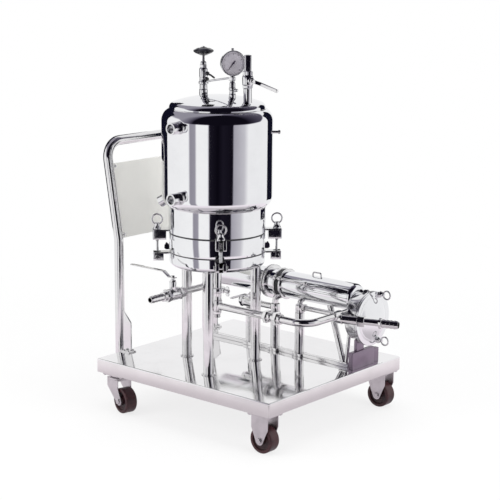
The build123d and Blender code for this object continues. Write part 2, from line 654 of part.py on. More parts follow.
# Pressure gauge: stem, case and bezel
with BuildPart() as gauge_case:
    low = dome_height(GAUGE_X) - 1
    base = at(GAUGE_X, TANK_Y, 0)
    centre = at(GAUGE_X, TANK_Y, DOME_Z + GAUGE_UP)
    case_low = DOME_Z + GAUGE_UP - GAUGE_R + 4
    lathe(base, AXIS, [(4, low), (13, low), (13, DOME_Z + 48), (8, DOME_Z + 54), (8, case_low), (4, case_low)])
    rod(base + AXIS * (DOME_Z + 58), base + AXIS * (DOME_Z + 72), 13)
    rod(base + AXIS * (DOME_Z + 22) + out_dir(0) * 10, base + AXIS * (DOME_Z + 22) + out_dir(0) * 24, 5)
    rod(base + AXIS * (low - 5), base + AXIS * (DOME_Z + 64), 4, Mode.SUBTRACT)
    half = GAUGE_T / 2
    lathe(centre, GAUGE_DIR, [
        (0, -half), (GAUGE_R - 4, -half), (GAUGE_R - 2, -half + 2), (GAUGE_R - 2, half - 6), (GAUGE_R, half - 6),
        (GAUGE_R, half), (GAUGE_R - 5, half), (GAUGE_R - 5, half - 7), (0, half - 7)])
    rod(centre + AXIS * (GAUGE_R - 3), centre + AXIS * (GAUGE_R + 8), 5)
    trim_to_dome()
gauge_case.part.label = "gauge_case"
export_step(gauge_case.part, "parts/gauge_case.step")

# Gauge dial and pointer
with BuildPart() as gauge_dial:
    face = at(GAUGE_X, TANK_Y, DOME_Z + GAUGE_UP) + GAUGE_DIR * (GAUGE_T / 2 - 7)
    level = out_dir(GAUGE_AIM + 90)
    rod(face, face + GAUGE_DIR * 1.5, GAUGE_R - 5)
    rod(face + GAUGE_DIR, face + GAUGE_DIR * 4, 4)
    rod(face + GAUGE_DIR * 2.6 + level * 12 + AXIS * 9, face + GAUGE_DIR * 2.6 - level * 26 - AXIS * 20, 1.1)
gauge_dial.part.label = "gauge_dial"
export_step(gauge_dial.part, "parts/gauge_dial.step")

AIR_DIR = out_dir(AIR_AIM)
AIR_Z = DOME_Z + AIR_UP
STEM_OUT = 30.0
# Air valve on the dome: stub, body and top outlet
with BuildPart() as air_valve:
    low = dome_height(AIR_X) - 6
    base = at(AIR_X, TANK_Y, 0)
    lathe(base, AXIS, [
        (8, low), (15.5, low), (15.5, AIR_Z - 28), (18, AIR_Z - 26), (18, AIR_Z - 18), (20, AIR_Z - 14),
        (20, AIR_Z + 14), (18, AIR_Z + 18), (18, AIR_Z + 34), (13.5, AIR_Z + 36), (13.5, DOME_Z + AIR_TOP_UP),
        (9, DOME_Z + AIR_TOP_UP), (9, AIR_Z + 30), (8, AIR_Z + 30)])
    rod(at(AIR_X, TANK_Y, AIR_Z) + AIR_DIR * 16, at(AIR_X, TANK_Y, AIR_Z) + AIR_DIR * STEM_OUT, 10)
    trim_to_dome()
air_valve.part.label = "air_valve"
export_step(air_valve.part, "parts/air_valve.step")


def lever(p, turn_axis, run, length, rise, step, width):
    """A cranked flat lever: a boss on the stem at p, then a bar stepped out by rise."""
    side = turn_axis.cross(run).normalized()
    with BuildSketch(Plane(origin=p + side * width / 2, x_dir=run, z_dir=-side)) as bar:
        with BuildLine():
            Polyline((-13, 0), (step * 0.4, 0), (step, rise), (length, rise), (length, rise + 4),
                     (step - 2, rise + 4), (step * 0.4 - 2, 4), (-13, 4), close=True)
        make_face()
    extrude(bar.sketch, amount=width)
    rod(p, p + turn_axis * 9, 7)


# Lever of the air valve, lying across the flow
with BuildPart() as air_lever:
    stem = at(AIR_X, TANK_Y, AIR_Z) + AIR_DIR * (STEM_OUT + 0.3)
    lever(stem, AIR_DIR, out_dir(AIR_AIM + 90, -AIR_DROOP), AIR_LEVER, 10, 30, 13)
air_lever.part.label = "air_lever"
export_step(air_lever.part, "parts/air_lever.step")


def hose_tail(p, d, r, length):
    """A hose tail: a collar and a plain barrel with a bore right through."""
    lathe(p, d, [(r - 3.5, 0), (r + 4, 0), (r + 4, 10), (r, 10), (r, length), (r - 3.5, length)])


def ball_valve(p, d, up, length, r, stem_top):
    """A closed ball valve: hexagonal ends bored for the pipe, a ball between them and a stem housing."""
    half = length / 2
    ball = BALL_LEN / 2
    lathe(p, d, [(0, -ball), (PIPE_BORE, -ball), (PIPE_BORE, -half), (r - 3, -half), (r - 3, -half + 22),
                 (r, -half + 24), (r, half - 24), (r - 3, half - 22), (r - 3, half), (PIPE_BORE, half),
                 (PIPE_BORE, ball), (0, ball)])
    rod(p + up * (r - 3), p + up * (stem_top - 12), 13)
    rod(p + up * (stem_top - 13), p + up * stem_top, 8)


OUT_AX = Vector(0, -1, 0)
# Outlet line: elbow from the drum base, pipe and hose tail
with BuildPart() as outlet_pipe:
    bent_pipe([at(TANK_X, OUT_DROP_Y, BASE_Z), at(TANK_X, OUT_DROP_Y, OUT_Z),
               at(TANK_X, OUT_VALVE_Y + VALVE_LEN / 2, OUT_Z)], PIPE_R, PIPE_BORE, 42)
    hose_tail(at(TANK_X, OUT_VALVE_Y - VALVE_LEN / 2, OUT_Z), OUT_AX, 14, OUT_VALVE_Y - VALVE_LEN / 2 - OUT_END_Y)
outlet_pipe.part.label = "outlet_pipe"
export_step(outlet_pipe.part, "parts/outlet_pipe.step")

# Ball valve of the outlet line and its lever
with BuildPart() as outlet_valve:
    ball_valve(at(TANK_X, OUT_VALVE_Y, OUT_Z), OUT_AX, AXIS, VALVE_LEN, VALVE_R, LEVER_UP - 18)
outlet_valve.part.label = "outlet_valve"
export_step(outlet_valve.part, "parts/outlet_valve.step")

with BuildPart() as outlet_lever:
    stem = at(TANK_X, OUT_VALVE_Y, OUT_Z + LEVER_UP - 17.7)
    lever(stem, AXIS, Vector(-1, 0, 0), OUT_LEVER, 18, 46, 18)
outlet_lever.part.label = "outlet_lever"
export_step(outlet_lever.part, "parts/outlet_lever.step")

# Centre outlet: pipe down from the drum base to the main line, and a drain tail
with BuildPart() as centre_pipe:
    centre = at(TANK_X, TANK_Y, 0)
    lathe(centre, AXIS, [
        (CENTRE_R - 2, BASE_Z), (CENTRE_R - 2, MAIN_Z - 18), (10, MAIN_Z - 24), (10, DRAIN_LOW), (13.5, DRAIN_LOW),
        (13.5, MAIN_Z - 26), (CENTRE_R + 1, MAIN_Z - 22), (CENTRE_R + 1, MAIN_Z + 18), (CENTRE_R, MAIN_Z + 20),
        (CENTRE_R, FERRULE_Z - 6), (24, FERRULE_Z - 3), (24, FERRULE_Z + 3), (CENTRE_R, FERRULE_Z + 6), (CENTRE_R, BASE_Z)])
    rod(at(TANK_X, TANK_Y, MAIN_Z), at(TANK_X + 30, TANK_Y, MAIN_Z), MAIN_BORE, Mode.SUBTRACT)
centre_pipe.part.label = "centre_pipe"
export_step(centre_pipe.part, "parts/centre_pipe.step")

# Clamp round the centre outlet's ferrules, with its wing nut
WING_OUT = 53.0
with BuildPart() as centre_clamp:
    lathe(at(TANK_X, TANK_Y, FERRULE_Z), AXIS, [
        (24.1, -3), (19, -7), (19, -9), (31, -9), (31, 9), (19, 9), (19, 7), (24.1, 3)])
    rod(at(TANK_X + 27, TANK_Y, FERRULE_Z), at(TANK_X + WING_OUT, TANK_Y, FERRULE_Z), 5)
    rod(at(TANK_X + WING_OUT - 6, TANK_Y, FERRULE_Z), at(TANK_X + WING_OUT + 6, TANK_Y, FERRULE_Z), 8)
    rod(at(TANK_X + WING_OUT, TANK_Y, FERRULE_Z - 18), at(TANK_X + WING_OUT, TANK_Y, FERRULE_Z + 18), 5)
    rod(at(TANK_X, TANK_Y, FERRULE_Z - 3), at(TANK_X, TANK_Y, FERRULE_Z + 3), 24.1, Mode.SUBTRACT)
centre_clamp.part.label = "centre_clamp"
export_step(centre_clamp.part, "parts/centre_clamp.step")

FACE_X = HOUSE_X1 + CHAMBER_L
CHAMBER_START = at(HOUSE_X1 - 40, HOUSE_Y, CHAMBER_Z)
TAIL_DIR = out_dir(TAIL_AIM)
TAIL_Z = MAIN_Z - TAIL_DROP
HOSE_R = 16.0
HOSE_LEN = 74.0
# Main line: along the deck, round the wide bend to the chamber, with the branch to the inlet hose tail
with BuildPart() as main_line:
    bent_pipe([at(TANK_X + CENTRE_R + 1, TANK_Y, MAIN_Z), at(MAIN_X, TANK_Y, MAIN_Z), at(MAIN_X, TAIL_Y, MAIN_Z)],
              MAIN_R, MAIN_BORE, BEND)
    pipe(at(MAIN_X, TAIL_Y - 24, MAIN_Z), at(MAIN_X, TAIL_Y + 24, MAIN_Z), MAIN_R + 4, MAIN_BORE)
    pipe(at(MAIN_X, TAIL_Y + 24, MAIN_Z), at(MAIN_X, HOUSE_Y, MAIN_Z), MAIN_R - 1, MAIN_R - 3.5)
    for x in (UNION_X, TEE_X + 12):
        pipe(at(x - 13, TANK_Y, MAIN_Z), at(x + 13, TANK_Y, MAIN_Z), MAIN_R + 6, MAIN_BORE)
    spot = at(MAIN_X, TAIL_Y, TAIL_Z)
    rod(spot, spot + TAIL_DIR * 40, MAIN_R + 3.5)
    rod(spot + TAIL_DIR * 40, spot + TAIL_DIR * 96, MAIN_R + 2)
    rod(spot + TAIL_DIR * 94, spot + TAIL_DIR * 122, MAIN_R + 6)
    rod(spot + TAIL_DIR * 120, spot + TAIL_DIR * (TAIL_LEN - HOSE_LEN + 2), MAIN_R)
    hose_tail(spot + TAIL_DIR * (TAIL_LEN - HOSE_LEN), TAIL_DIR, HOSE_R, HOSE_LEN)
    rod(spot + TAIL_DIR * 2, spot + TAIL_DIR * TAIL_LEN, MAIN_BORE, Mode.SUBTRACT)
    rod(at(MAIN_X, TAIL_Y - 24, MAIN_Z), at(MAIN_X, TAIL_Y + 24, MAIN_Z), MAIN_BORE, Mode.SUBTRACT)
    rod(CHAMBER_START, at(FACE_X, HOUSE_Y, CHAMBER_Z), CHAMBER_R + RUN_GAP, Mode.SUBTRACT)
main_line.part.label = "main_line"
export_step(main_line.part, "parts/main_line.step")

RAIL_TOP = DECK_TOP + RAIL_T
# Post frame: a flat rail on the deck and three uprights
with BuildPart() as post_frame:
    slab(at((RAIL_X0 + RAIL_X1) / 2, RAIL_Y, DECK_TOP), RAIL_X1 - RAIL_X0, RAIL_W, RAIL_T)
    for x, top in zip(POST_XS, (SIDE_VALVE_Z - VALVE_R, 366, BRANCH_Z - 22)):
        slab(at(x, RAIL_Y, DECK_TOP), 2 * POST_R + 6, 2 * POST_R + 6, RAIL_T)
        rod(at(x, RAIL_Y, RAIL_TOP - 1), at(x, RAIL_Y, top), POST_R)
post_frame.part.label = "post_frame"
export_step(post_frame.part, "parts/post_frame.step")

# Side valve on the first post
with BuildPart() as side_valve:
    ball_valve(at(POST_XS[0], RAIL_Y, SIDE_VALVE_Z), Vector(1, 0, 0), AXIS, 100, VALVE_R, 30)
side_valve.part.label = "side_valve"
export_step(side_valve.part, "parts/side_valve.step")

with BuildPart() as side_lever:
    lever(at(POST_XS[0], RAIL_Y, SIDE_VALVE_Z + 30.3), AXIS, Vector(0, -1, 0), 122, 4, 30, 18)
side_lever.part.label = "side_lever"
export_step(side_lever.part, "parts/side_lever.step")

# Branch pipes: from the side valve and the posts to the housing and the chamber
with BuildPart() as branch_pipes:
    first, middle, last = POST_XS
    pipe(at(first + 50, RAIL_Y, SIDE_VALVE_Z), at(middle - 16, RAIL_Y, SIDE_VALVE_Z), PIPE_R, PIPE_BORE)
    lathe(at(middle, RAIL_Y, 0), AXIS, [(0, 366), (18, 366), (18, 396), (PIPE_R, 398), (0, 398)])
    bent_pipe([at(middle, RAIL_Y, 394), at(middle, RAIL_Y, 424), at(middle + 66, RAIL_Y + 44, 448)], PIPE_R, 0, 26)
    lathe(at(last, RAIL_Y, 0), AXIS, [
        (0, BRANCH_Z - 22), (POST_R - 2, BRANCH_Z - 22), (POST_R - 2, BRANCH_Z + 10), (0, BRANCH_Z + 14)])
    bent_pipe([at(last, RAIL_Y, BRANCH_Z), at(last, RAIL_Y, BRANCH_Z + 26), at(last + 20, HOUSE_Y, BRANCH_Z + 40)],
              BRANCH_R, 0, 18)
    pipe(at(last + 10, RAIL_Y, BRANCH_Z), at(HOUSE_X1, RAIL_Y, BRANCH_Z), BRANCH_R, BRANCH_R - 2)
    pipe(at(last + 14, RAIL_Y, BRANCH_Z), at(last + 32, RAIL_Y, BRANCH_Z), BRANCH_R + 4, BRANCH_R - 2)
    rod(at(HOUSE_X0, HOUSE_Y, HOUSE_Z), at(HOUSE_X1, HOUSE_Y, HOUSE_Z), HOUSE_R + RUN_GAP, Mode.SUBTRACT)
    rod(at(BAND_X - 1, HOUSE_Y, HOUSE_Z), at(BAND_X + 37, HOUSE_Y, HOUSE_Z), HOUSE_R + 8 + RUN_GAP, Mode.SUBTRACT)
branch_pipes.part.label = "branch_pipes"
export_step(branch_pipes.part, "parts/branch_pipes.step")

EAST = Vector(1, 0, 0)
# Side housing: a long polished tube with rounded ends, a clamp band with its handle and a pair of flanges
with BuildPart() as side_housing:
    here = at(0, HOUSE_Y, HOUSE_Z)
    inner = HOUSE_R - 3
    lathe(here, EAST, [
        (0, HOUSE_X0), (HOUSE_R - 20, HOUSE_X0), ((HOUSE_R - 5.9, HOUSE_X0 + 5.9), (HOUSE_R, HOUSE_X0 + 20)),
        (HOUSE_R, HOUSE_X1 - 20), ((HOUSE_R - 5.9, HOUSE_X1 - 5.9), (HOUSE_R - 20, HOUSE_X1)), (0, HOUSE_X1)])
    for x in (BAND_X, BAND_X + 28):
        rod(here + EAST * x, here + EAST * (x + 8), HOUSE_R + 8)
    for x in (FLANGE_X, FLANGE_X + 12):
        rod(here + EAST * x, here + EAST * (x + 8), HOUSE_R + 14)
    lathe(here, EAST, [
        (0, HOUSE_X0 + 20), (inner, HOUSE_X0 + 20), (inner, HOUSE_X1 - 20), (HOUSE_R - 22, HOUSE_X1 - 4),
        (0, HOUSE_X1 - 4)], Mode.SUBTRACT)
    rod(here + EAST * (HOUSE_X1 - 20), here + EAST * (HOUSE_X1 + 1), 20, Mode.SUBTRACT)
    grip = here + Vector(0, -52, 30)
    rod(grip + EAST * (BAND_X + 30), grip + EAST * 164, 5)
    rod(grip + EAST * 162, grip + EAST * 172, 9)
side_housing.part.label = "side_housing"
export_step(side_housing.part, "parts/side_housing.step")

CHAMBER = at(0, HOUSE_Y, CHAMBER_Z)
# End chamber: a short round drum across the housing's end, with an ear at each bolt
with BuildPart() as end_chamber:
    lathe(CHAMBER, EAST, [
        (0, HOUSE_X1), (CHAMBER_R - 6, HOUSE_X1), (CHAMBER_R, HOUSE_X1 + 6), (CHAMBER_R, FACE_X - 8),
        (COVER_R, FACE_X - 8), (COVER_R, FACE_X), (CHAMBER_R - 8, FACE_X), (CHAMBER_R - 8, HOUSE_X1 + 8),
        (0, HOUSE_X1 + 8)])
    for angle in END_BOLT_ANGLES:
        away = Vector(0, -cos(radians(angle)), sin(radians(angle)))
        side = Vector(0, sin(radians(angle)), cos(radians(angle)))
        for y in (-14, 8):
            foot = CHAMBER + EAST * (HOUSE_X1 + 10) + away * (CHAMBER_R - 2) + side * y
            with BuildSketch(Plane(origin=foot, x_dir=EAST, z_dir=side)) as ear:
                Rectangle(20, 14 + 2 * (END_BOLT_R - CHAMBER_R))
            extrude(ear.sketch, amount=6)
        slot = CHAMBER + EAST * (FACE_X - 10) + away * (END_BOLT_R + 10)
        with BuildSketch(Plane(origin=slot, x_dir=away, z_dir=EAST)) as notch:
            Rectangle(34, 14)
        extrude(notch.sketch, amount=12, mode=Mode.SUBTRACT)
    rod(at(HOUSE_X1 - 1, RAIL_Y, BRANCH_Z), at(HOUSE_X1 + 10, RAIL_Y, BRANCH_Z), BRANCH_R - 2, Mode.SUBTRACT)
    rod(at(MAIN_X, HOUSE_Y - CHAMBER_R - 5, MAIN_Z), at(MAIN_X, HOUSE_Y - 40, MAIN_Z), MAIN_R - 3.5, Mode.SUBTRACT)
end_chamber.part.label = "end_chamber"
export_step(end_chamber.part, "parts/end_chamber.step")

# End cover: a flat rim with a dished middle, notched where the bolts swing in
DISH_R = COVER_R - 22
DISH_X = FACE_X + COVER_T + DISH
with BuildPart() as end_cover:
    lathe(CHAMBER, EAST, [
        (COVER_R, FACE_X), (COVER_R, FACE_X + COVER_T), (DISH_R, FACE_X + COVER_T),
        (cap(45, DISH_R, FACE_X + COVER_T, DISH_X), (0, DISH_X)), (0, DISH_X - 5),
        (cap(45, DISH_R - 4, FACE_X + COVER_T - 5, DISH_X - 5), (DISH_R - 4, FACE_X + COVER_T - 5)),
        (DISH_R - 4, FACE_X)])
    for angle in END_BOLT_ANGLES:
        away = Vector(0, -cos(radians(angle)), sin(radians(angle)))
        with BuildSketch(Plane(origin=CHAMBER + EAST * (FACE_X - 1) + away * (END_BOLT_R + 10), x_dir=away,
                               z_dir=EAST)) as notch:
            Rectangle(34, 14)
        extrude(notch.sketch, amount=COVER_T + 2, mode=Mode.SUBTRACT)
end_cover.part.label = "end_cover"
export_step(end_cover.part, "parts/end_cover.step")

# Swing bolts of the end cover, with ring nuts
EYE_R = 16.0
with BuildPart() as end_bolts:
    for angle in END_BOLT_ANGLES:
        away = Vector(0, -cos(radians(angle)), sin(radians(angle)))
        side = Vector(0, sin(radians(angle)), cos(radians(angle)))
        foot = CHAMBER + EAST * (HOUSE_X1 + 12) + away * END_BOLT_R
        seat = CHAMBER + EAST * (FACE_X + COVER_T) + away * END_BOLT_R
        rod(foot, seat + EAST * 10, 5)
        rod(foot - side * 7.9, foot + side * 7.9, 6)
        lathe(seat, EAST, [(0, 0), (12, 0), (12, 8), (8, 12), (6, 24), (0, 24)])
        ring = seat + EAST * (20 + EYE_R)
        lathe(ring, Vector(0, -1, 0), [
            (EYE_R - RING_T, 0), ((EYE_R, RING_T), (EYE_R + RING_T, 0)), ((EYE_R, -RING_T), (EYE_R - RING_T, 0))])
    rod(CHAMBER + EAST * HOUSE_X1, CHAMBER + EAST * (FACE_X - 9), CHAMBER_R + RUN_GAP, Mode.SUBTRACT)
end_bolts.part.label = "end_bolts"
export_step(end_bolts.part, "parts/end_bolts.step")

# Pedestal and saddle under the chamber, and the splayed stand under the housing
with BuildPart() as housing_stand:
    slab(at(HOUSE_X1 + 19, HOUSE_Y + 1, DECK_TOP), 20, 140, 68)
    slab(at(HOUSE_X1 + 15, HOUSE_Y + 90, DECK_TOP), 18, 36, 56)
    slab(at(HOUSE_X1 + 19, HOUSE_Y - 14, DECK_TOP + 60), 18, 46, 80)
    rod(CHAMBER + EAST * HOUSE_X1, CHAMBER + EAST * FACE_X, CHAMBER_R + RUN_GAP, Mode.SUBTRACT)
housing_stand.part.label = "housing_stand"
export_step(housing_stand.part, "parts/housing_stand.step")

with BuildPart() as tube_stand:
    slab(at(STAND_X, RAIL_Y, RAIL_TOP), 40, 30, 6)
    rod(at(STAND_X - 8, RAIL_Y, RAIL_TOP + 6), at(STAND_X - 104, HOUSE_Y - 8, HOUSE_Z - 40), 13)
    rod(at(STAND_X + 6, RAIL_Y, RAIL_TOP + 4), at(STAND_X + 6, HOUSE_Y - 8, HOUSE_Z - 40), 7.5)
    rod(at(HOUSE_X0, HOUSE_Y, HOUSE_Z), at(HOUSE_X1, HOUSE_Y, HOUSE_Z), HOUSE_R + RUN_GAP, Mode.SUBTRACT)
    rod(at(0, RAIL_Y, BRANCH_Z), at(HOUSE_X1, RAIL_Y, BRANCH_Z), BRANCH_R + RUN_GAP, Mode.SUBTRACT)
tube_stand.part.label = "tube_stand"
export_step(tube_stand.part, "parts/tube_stand.step")

# Push handle: one bent tube
KNEE = [
    at(-HANDLE_OUT, -HANDLE_HALF, DECK_UNDER + 6), at(-HANDLE_OUT, -HANDLE_HALF, HANDLE_KNEE),
    at(HANDLE_TOP_X, -HANDLE_HALF, HANDLE_TOP), at(HANDLE_TOP_X, HANDLE_HALF, HANDLE_TOP),
    at(-HANDLE_OUT, HANDLE_HALF, HANDLE_KNEE), at(-HANDLE_OUT, HANDLE_HALF, DECK_UNDER + 6)]
with BuildPart() as push_handle:
    bent_pipe(KNEE, HANDLE_R, HANDLE_BORE, HANDLE_BEND)
push_handle.part.label = "push_handle"
export_step(push_handle.part, "parts/push_handle.step")

# Gussets and feet that tie the handle to the deck's end
with BuildPart() as handle_gussets:
    inner = -HANDLE_OUT + HANDLE_R - 2
    for side in (-1, 1):
        y = side * HANDLE_HALF
        with BuildSketch(Plane(origin=at(0, y + 3, 0), x_dir=(1, 0, 0), z_dir=(0, -1, 0))) as web:
            with BuildLine():
                Polyline((inner, DECK_TOP), (inner, DECK_TOP + GUSSET_H), (inner + GUSSET_W, DECK_TOP + GUSSET_H * 0.7),
                         (inner + GUSSET_W, DECK_TOP), close=True)
            make_face()
        extrude(web.sketch, amount=6)
        slab(at(-DECK_X / 2 + 26, y, DECK_TOP), 50, 40, 5)
        rod(at(-HANDLE_OUT, y, DECK_UNDER), at(-HANDLE_OUT, y, HANDLE_KNEE + 40), HANDLE_R + RUN_GAP, Mode.SUBTRACT)
handle_gussets.part.label = "handle_gussets"
export_step(handle_gussets.part, "parts/handle_gussets.step")

# Board between the handle's posts, on the leaning part
with BuildPart() as sign_board:
    mid = (BOARD_LOW + BOARD_HIGH) / 2
    lean = Vector(-HANDLE_LEAN, 0, 1).normalized()
    middle = at(-HANDLE_OUT - (mid - HANDLE_KNEE) * HANDLE_LEAN, 0, mid)
    with BuildSketch(Plane(origin=middle, x_dir=(0, 1, 0), z_dir=Vector(0, 1, 0).cross(lean))):
        Rectangle(2 * (HANDLE_HALF - HANDLE_R) - 0.6, (BOARD_HIGH - BOARD_LOW) / lean.Z)
    extrude(amount=BOARD_T / 2, both=True)
sign_board.part.label = "sign_board"
export_step(sign_board.part, "parts/sign_board.step")
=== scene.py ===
# %% [markdown]
# # A plate filter press on its trolley
# A polished steel vessel, its clamps, its pipework and the deck that carries them are dressed here,
# one piece at a time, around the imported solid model. Nearly every real part is turned on a lathe, bent
# from tube or folded from sheet, so three or four grid surfaces make almost all of it.

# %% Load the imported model
import json
from math import cos, pi, radians, sin, sqrt

import bmesh
import bpy
import numpy as np
from mathutils import Matrix


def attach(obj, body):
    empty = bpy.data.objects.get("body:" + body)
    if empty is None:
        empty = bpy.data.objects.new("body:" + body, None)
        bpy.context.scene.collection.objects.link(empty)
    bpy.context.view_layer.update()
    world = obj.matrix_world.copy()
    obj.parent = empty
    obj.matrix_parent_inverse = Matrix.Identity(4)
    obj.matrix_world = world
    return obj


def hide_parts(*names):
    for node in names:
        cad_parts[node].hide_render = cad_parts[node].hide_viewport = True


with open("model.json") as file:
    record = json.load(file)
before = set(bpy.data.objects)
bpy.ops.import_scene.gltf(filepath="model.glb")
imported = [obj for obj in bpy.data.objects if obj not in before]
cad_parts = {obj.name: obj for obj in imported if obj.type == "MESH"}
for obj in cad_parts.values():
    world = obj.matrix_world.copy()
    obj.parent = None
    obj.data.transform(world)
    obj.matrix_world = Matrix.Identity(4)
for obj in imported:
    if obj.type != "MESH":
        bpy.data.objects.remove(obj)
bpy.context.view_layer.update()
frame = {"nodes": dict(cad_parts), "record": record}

nodes = frame["nodes"]
print("nodes in the frame:", len(nodes))

# %% [markdown]
# ## The camera
# The photograph was taken with a long lens, from a little above the deck and from one corner. The
# numbers were fitted to the deck's corners and the castors, so a piece that is in its right place in
# the model also falls in its right place in the picture.

# %% Camera
CAMERA_AT = (3.5498, -4.1908, 1.8214)
AZIMUTH = radians(40.27)
ELEVATION = radians(12.037)
ROLL = radians(0.385)
back = np.array([sin(AZIMUTH) * cos(ELEVATION), -cos(AZIMUTH) * cos(ELEVATION), sin(ELEVATION)])
level = np.array([cos(AZIMUTH), sin(AZIMUTH), 0.0])
rise = np.cross(back, level)
right = cos(ROLL) * level + sin(ROLL) * rise
up = cos(ROLL) * rise - sin(ROLL) * level
camera = bpy.data.objects.new("camera", bpy.data.cameras.new("camera"))
camera.matrix_world = Matrix.Translation(CAMERA_AT) @ Matrix(np.stack([right, up, back], 1).tolist()).to_4x4()
camera.data.sensor_width = 36.0
camera.data.lens = 105.64
bpy.context.scene.collection.objects.link(camera)
bpy.context.scene.camera = camera
bpy.context.scene.view_settings.view_transform = "Standard"
print("camera set", round(camera.data.lens, 1), "mm")

# %% [markdown]
# ## Grid surfaces
# A turned part is a profile carried round an axis, and a pipe is a circle carried along a path. Both
# are grids: rows along one direction, columns along the other. Each helper below works out all its
# points at once and returns them with their faces, in millimetres from the deck's centre.

# %% Faces of a grid
SHIFT = np.array([-45.774, 53.0, 0.0])


def unit(v):
    """A vector divided by its own length."""
    v = np.asarray(v, float)
    return v / np.linalg.norm(v, axis=-1, keepdims=True)


def grid_faces(rows, columns, wrap_rows=False, wrap_columns=True):
    """Four-sided faces between neighbouring rows and columns. A wrapped direction joins last to first."""
    i = np.arange(rows if wrap_rows else rows - 1)[:, None]
    j = np.arange(columns if wrap_columns else columns - 1)[None, :]
    near, far = i * columns, (i + 1) % rows * columns
    after = (j + 1) % columns
    return np.stack([near + j, far + j, far + after, near + after], -1).reshape(-1, 4)


def crossways(axis):
    """Two unit vectors square to an axis and to each other."""
    axis = unit(axis)
    side = np.cross([0, 0, 1.0], axis)
    side = unit(side) if np.linalg.norm(side) > 0.01 else np.array([1.0, 0, 0])
    return side, np.cross(axis, side)


# %% Rounded corners
def rounded(points, radius, steps=5, closed=False):
    """Round each corner of a line of points with an arc.
    With a and b the arc's ends, c the corner and w the sine of half the corner's angle, a point is
    ((1-t)^2 a + 2t(1-t) w c + t^2 b) / ((1-t)^2 + 2t(1-t) w + t^2), which is exactly a circle."""
    p = np.asarray(points, float)
    before, corner, after = (np.roll(p, 1, 0), p, np.roll(p, -1, 0)) if closed else (p[:-2], p[1:-1], p[2:])
    u, v = before - corner, after - corner
    lu, lv = np.linalg.norm(u, axis=1), np.linalg.norm(v, axis=1)
    u, v = u / lu[:, None], v / lv[:, None]
    turn = np.clip((u * v).sum(1), -1, 1)
    w = np.sqrt((1 - turn) / 2)
    reach = np.minimum(radius * np.sqrt((1 + turn) / 2) / np.maximum(w, 1e-6), 0.49 * np.minimum(lu, lv))
    a, b = corner + u * reach[:, None], corner + v * reach[:, None]
    t = np.linspace(0, 1, steps)[None, :, None]
    weight = 2 * t * (1 - t) * w[:, None, None]
    share = (1 - t) ** 2 + weight + t ** 2
    arcs = ((1 - t) ** 2 * a[:, None] + weight * corner[:, None] + t ** 2 * b[:, None]) / share
    arcs = arcs.reshape(-1, p.shape[1])
    return arcs if closed else np.concatenate([p[:1], arcs, p[-1:]])


def arc(centre, radius, start, end, steps=12):
    """Points (x, y) on a circle from one angle to another, in degrees."""
    a = np.radians(np.linspace(start, end, steps))
    return np.stack([centre[0] + radius * np.cos(a), centre[1] + radius * np.sin(a)], -1)


# %% Turned, bent and folded surfaces
def turned(outline, foot, along, sides=64, turn=0.0):
    """A profile carried round an axis: foot + height * axis + radius * (cos a * side + sin a * across)."""
    outline, foot, axis = np.asarray(outline, float), np.asarray(foot, float), unit(along)
    side, across = crossways(axis)
    a = np.linspace(0, 2 * pi, sides, endpoint=False) + radians(turn)
    round_ = np.cos(a)[:, None] * side + np.sin(a)[:, None] * across
    points = foot + outline[:, 1, None, None] * axis + outline[:, 0, None, None] * round_[None]
    return points.reshape(-1, 3), [grid_faces(len(outline), sides)]


def rod(start, end, radius, edge=1.0, sides=32):
    """A round bar with softened end edges."""
    start, end = np.asarray(start, float), np.asarray(end, float)
    length = np.linalg.norm(end - start)
    profile = rounded([(0, 0), (radius, 0), (radius, length), (0, length)], min(edge, radius * 0.4), 4)
    return turned(profile, start, end - start, sides)


def tube(path, radius, bore=0.0, sides=32):
    """A circle carried along a path: path + radius * (cos a * side + sin a * across). With a bore it has an
    inner wall and flat ends, and without one its ends close on the path."""
    path = np.asarray(path, float)
    keep = np.concatenate([[True], np.linalg.norm(np.diff(path, axis=0), axis=1) > 1e-6])
    path = path[keep]
    along = unit(np.diff(path, axis=0))
    tangent = unit(np.concatenate([along[:1], along[:-1] + along[1:], along[-1:]]))
    reference = np.eye(3)[np.argmin(np.abs(tangent).max(0))]
    side = unit(np.cross(tangent, reference))
    across = np.cross(tangent, side)
    a = np.linspace(0, 2 * pi, sides, endpoint=False)[None, :, None]
    circle = np.cos(a) * side[:, None] + np.sin(a) * across[:, None]
    outer = path[:, None] + radius * circle
    if bore:
        rings = np.concatenate([outer, (path[:, None] + bore * circle)[::-1]])
        return rings.reshape(-1, 3), [grid_faces(len(rings), sides, wrap_rows=True)]
    ends = np.repeat(path[[0, -1]][:, None], sides, 1)
    rings = np.concatenate([ends[:1], outer, ends[1:]])
    return rings.reshape(-1, 3), [grid_faces(len(rings), sides)]


def ring(centre, axis, big, small, sides=48, around=14):
    """A torus: a small circle carried round a big one."""
    profile = arc((big, 0), small, 0, 360, around + 1)
    return turned(profile, centre, axis, sides)


def folded(outline, steps, origin, x_dir, y_dir):
    """A flat outline carried through steps of (outset, height) and closed at both ends.
    Each point moves along the outline's own corner direction by outset,
    and along x_dir cross y_dir by height."""
    outline, steps = np.asarray(outline, float), np.asarray(steps, float)
    x_dir, y_dir = unit(x_dir), unit(y_dir)
    edge = unit(np.roll(outline, -1, 0) - outline)
    normal = np.stack([edge[:, 1], -edge[:, 0]], -1)
    before = np.roll(normal, 1, 0)
    corner = (normal + before) / (1 + (normal * before).sum(1, keepdims=True))
    flat = outline[None] + steps[:, 0, None, None] * corner[None]
    z_dir = np.cross(x_dir, y_dir)
    points = np.asarray(origin, float) + flat[..., :1] * x_dir + flat[..., 1:] * y_dir
    points = points + steps[:, 1, None, None] * z_dir
    count = len(outline)
    start = np.arange(count)[None, ::-1]
    return points.reshape(-1, 3), [grid_faces(len(steps), count), start,
                                   np.arange(count)[None] + (len(steps) - 1) * count]


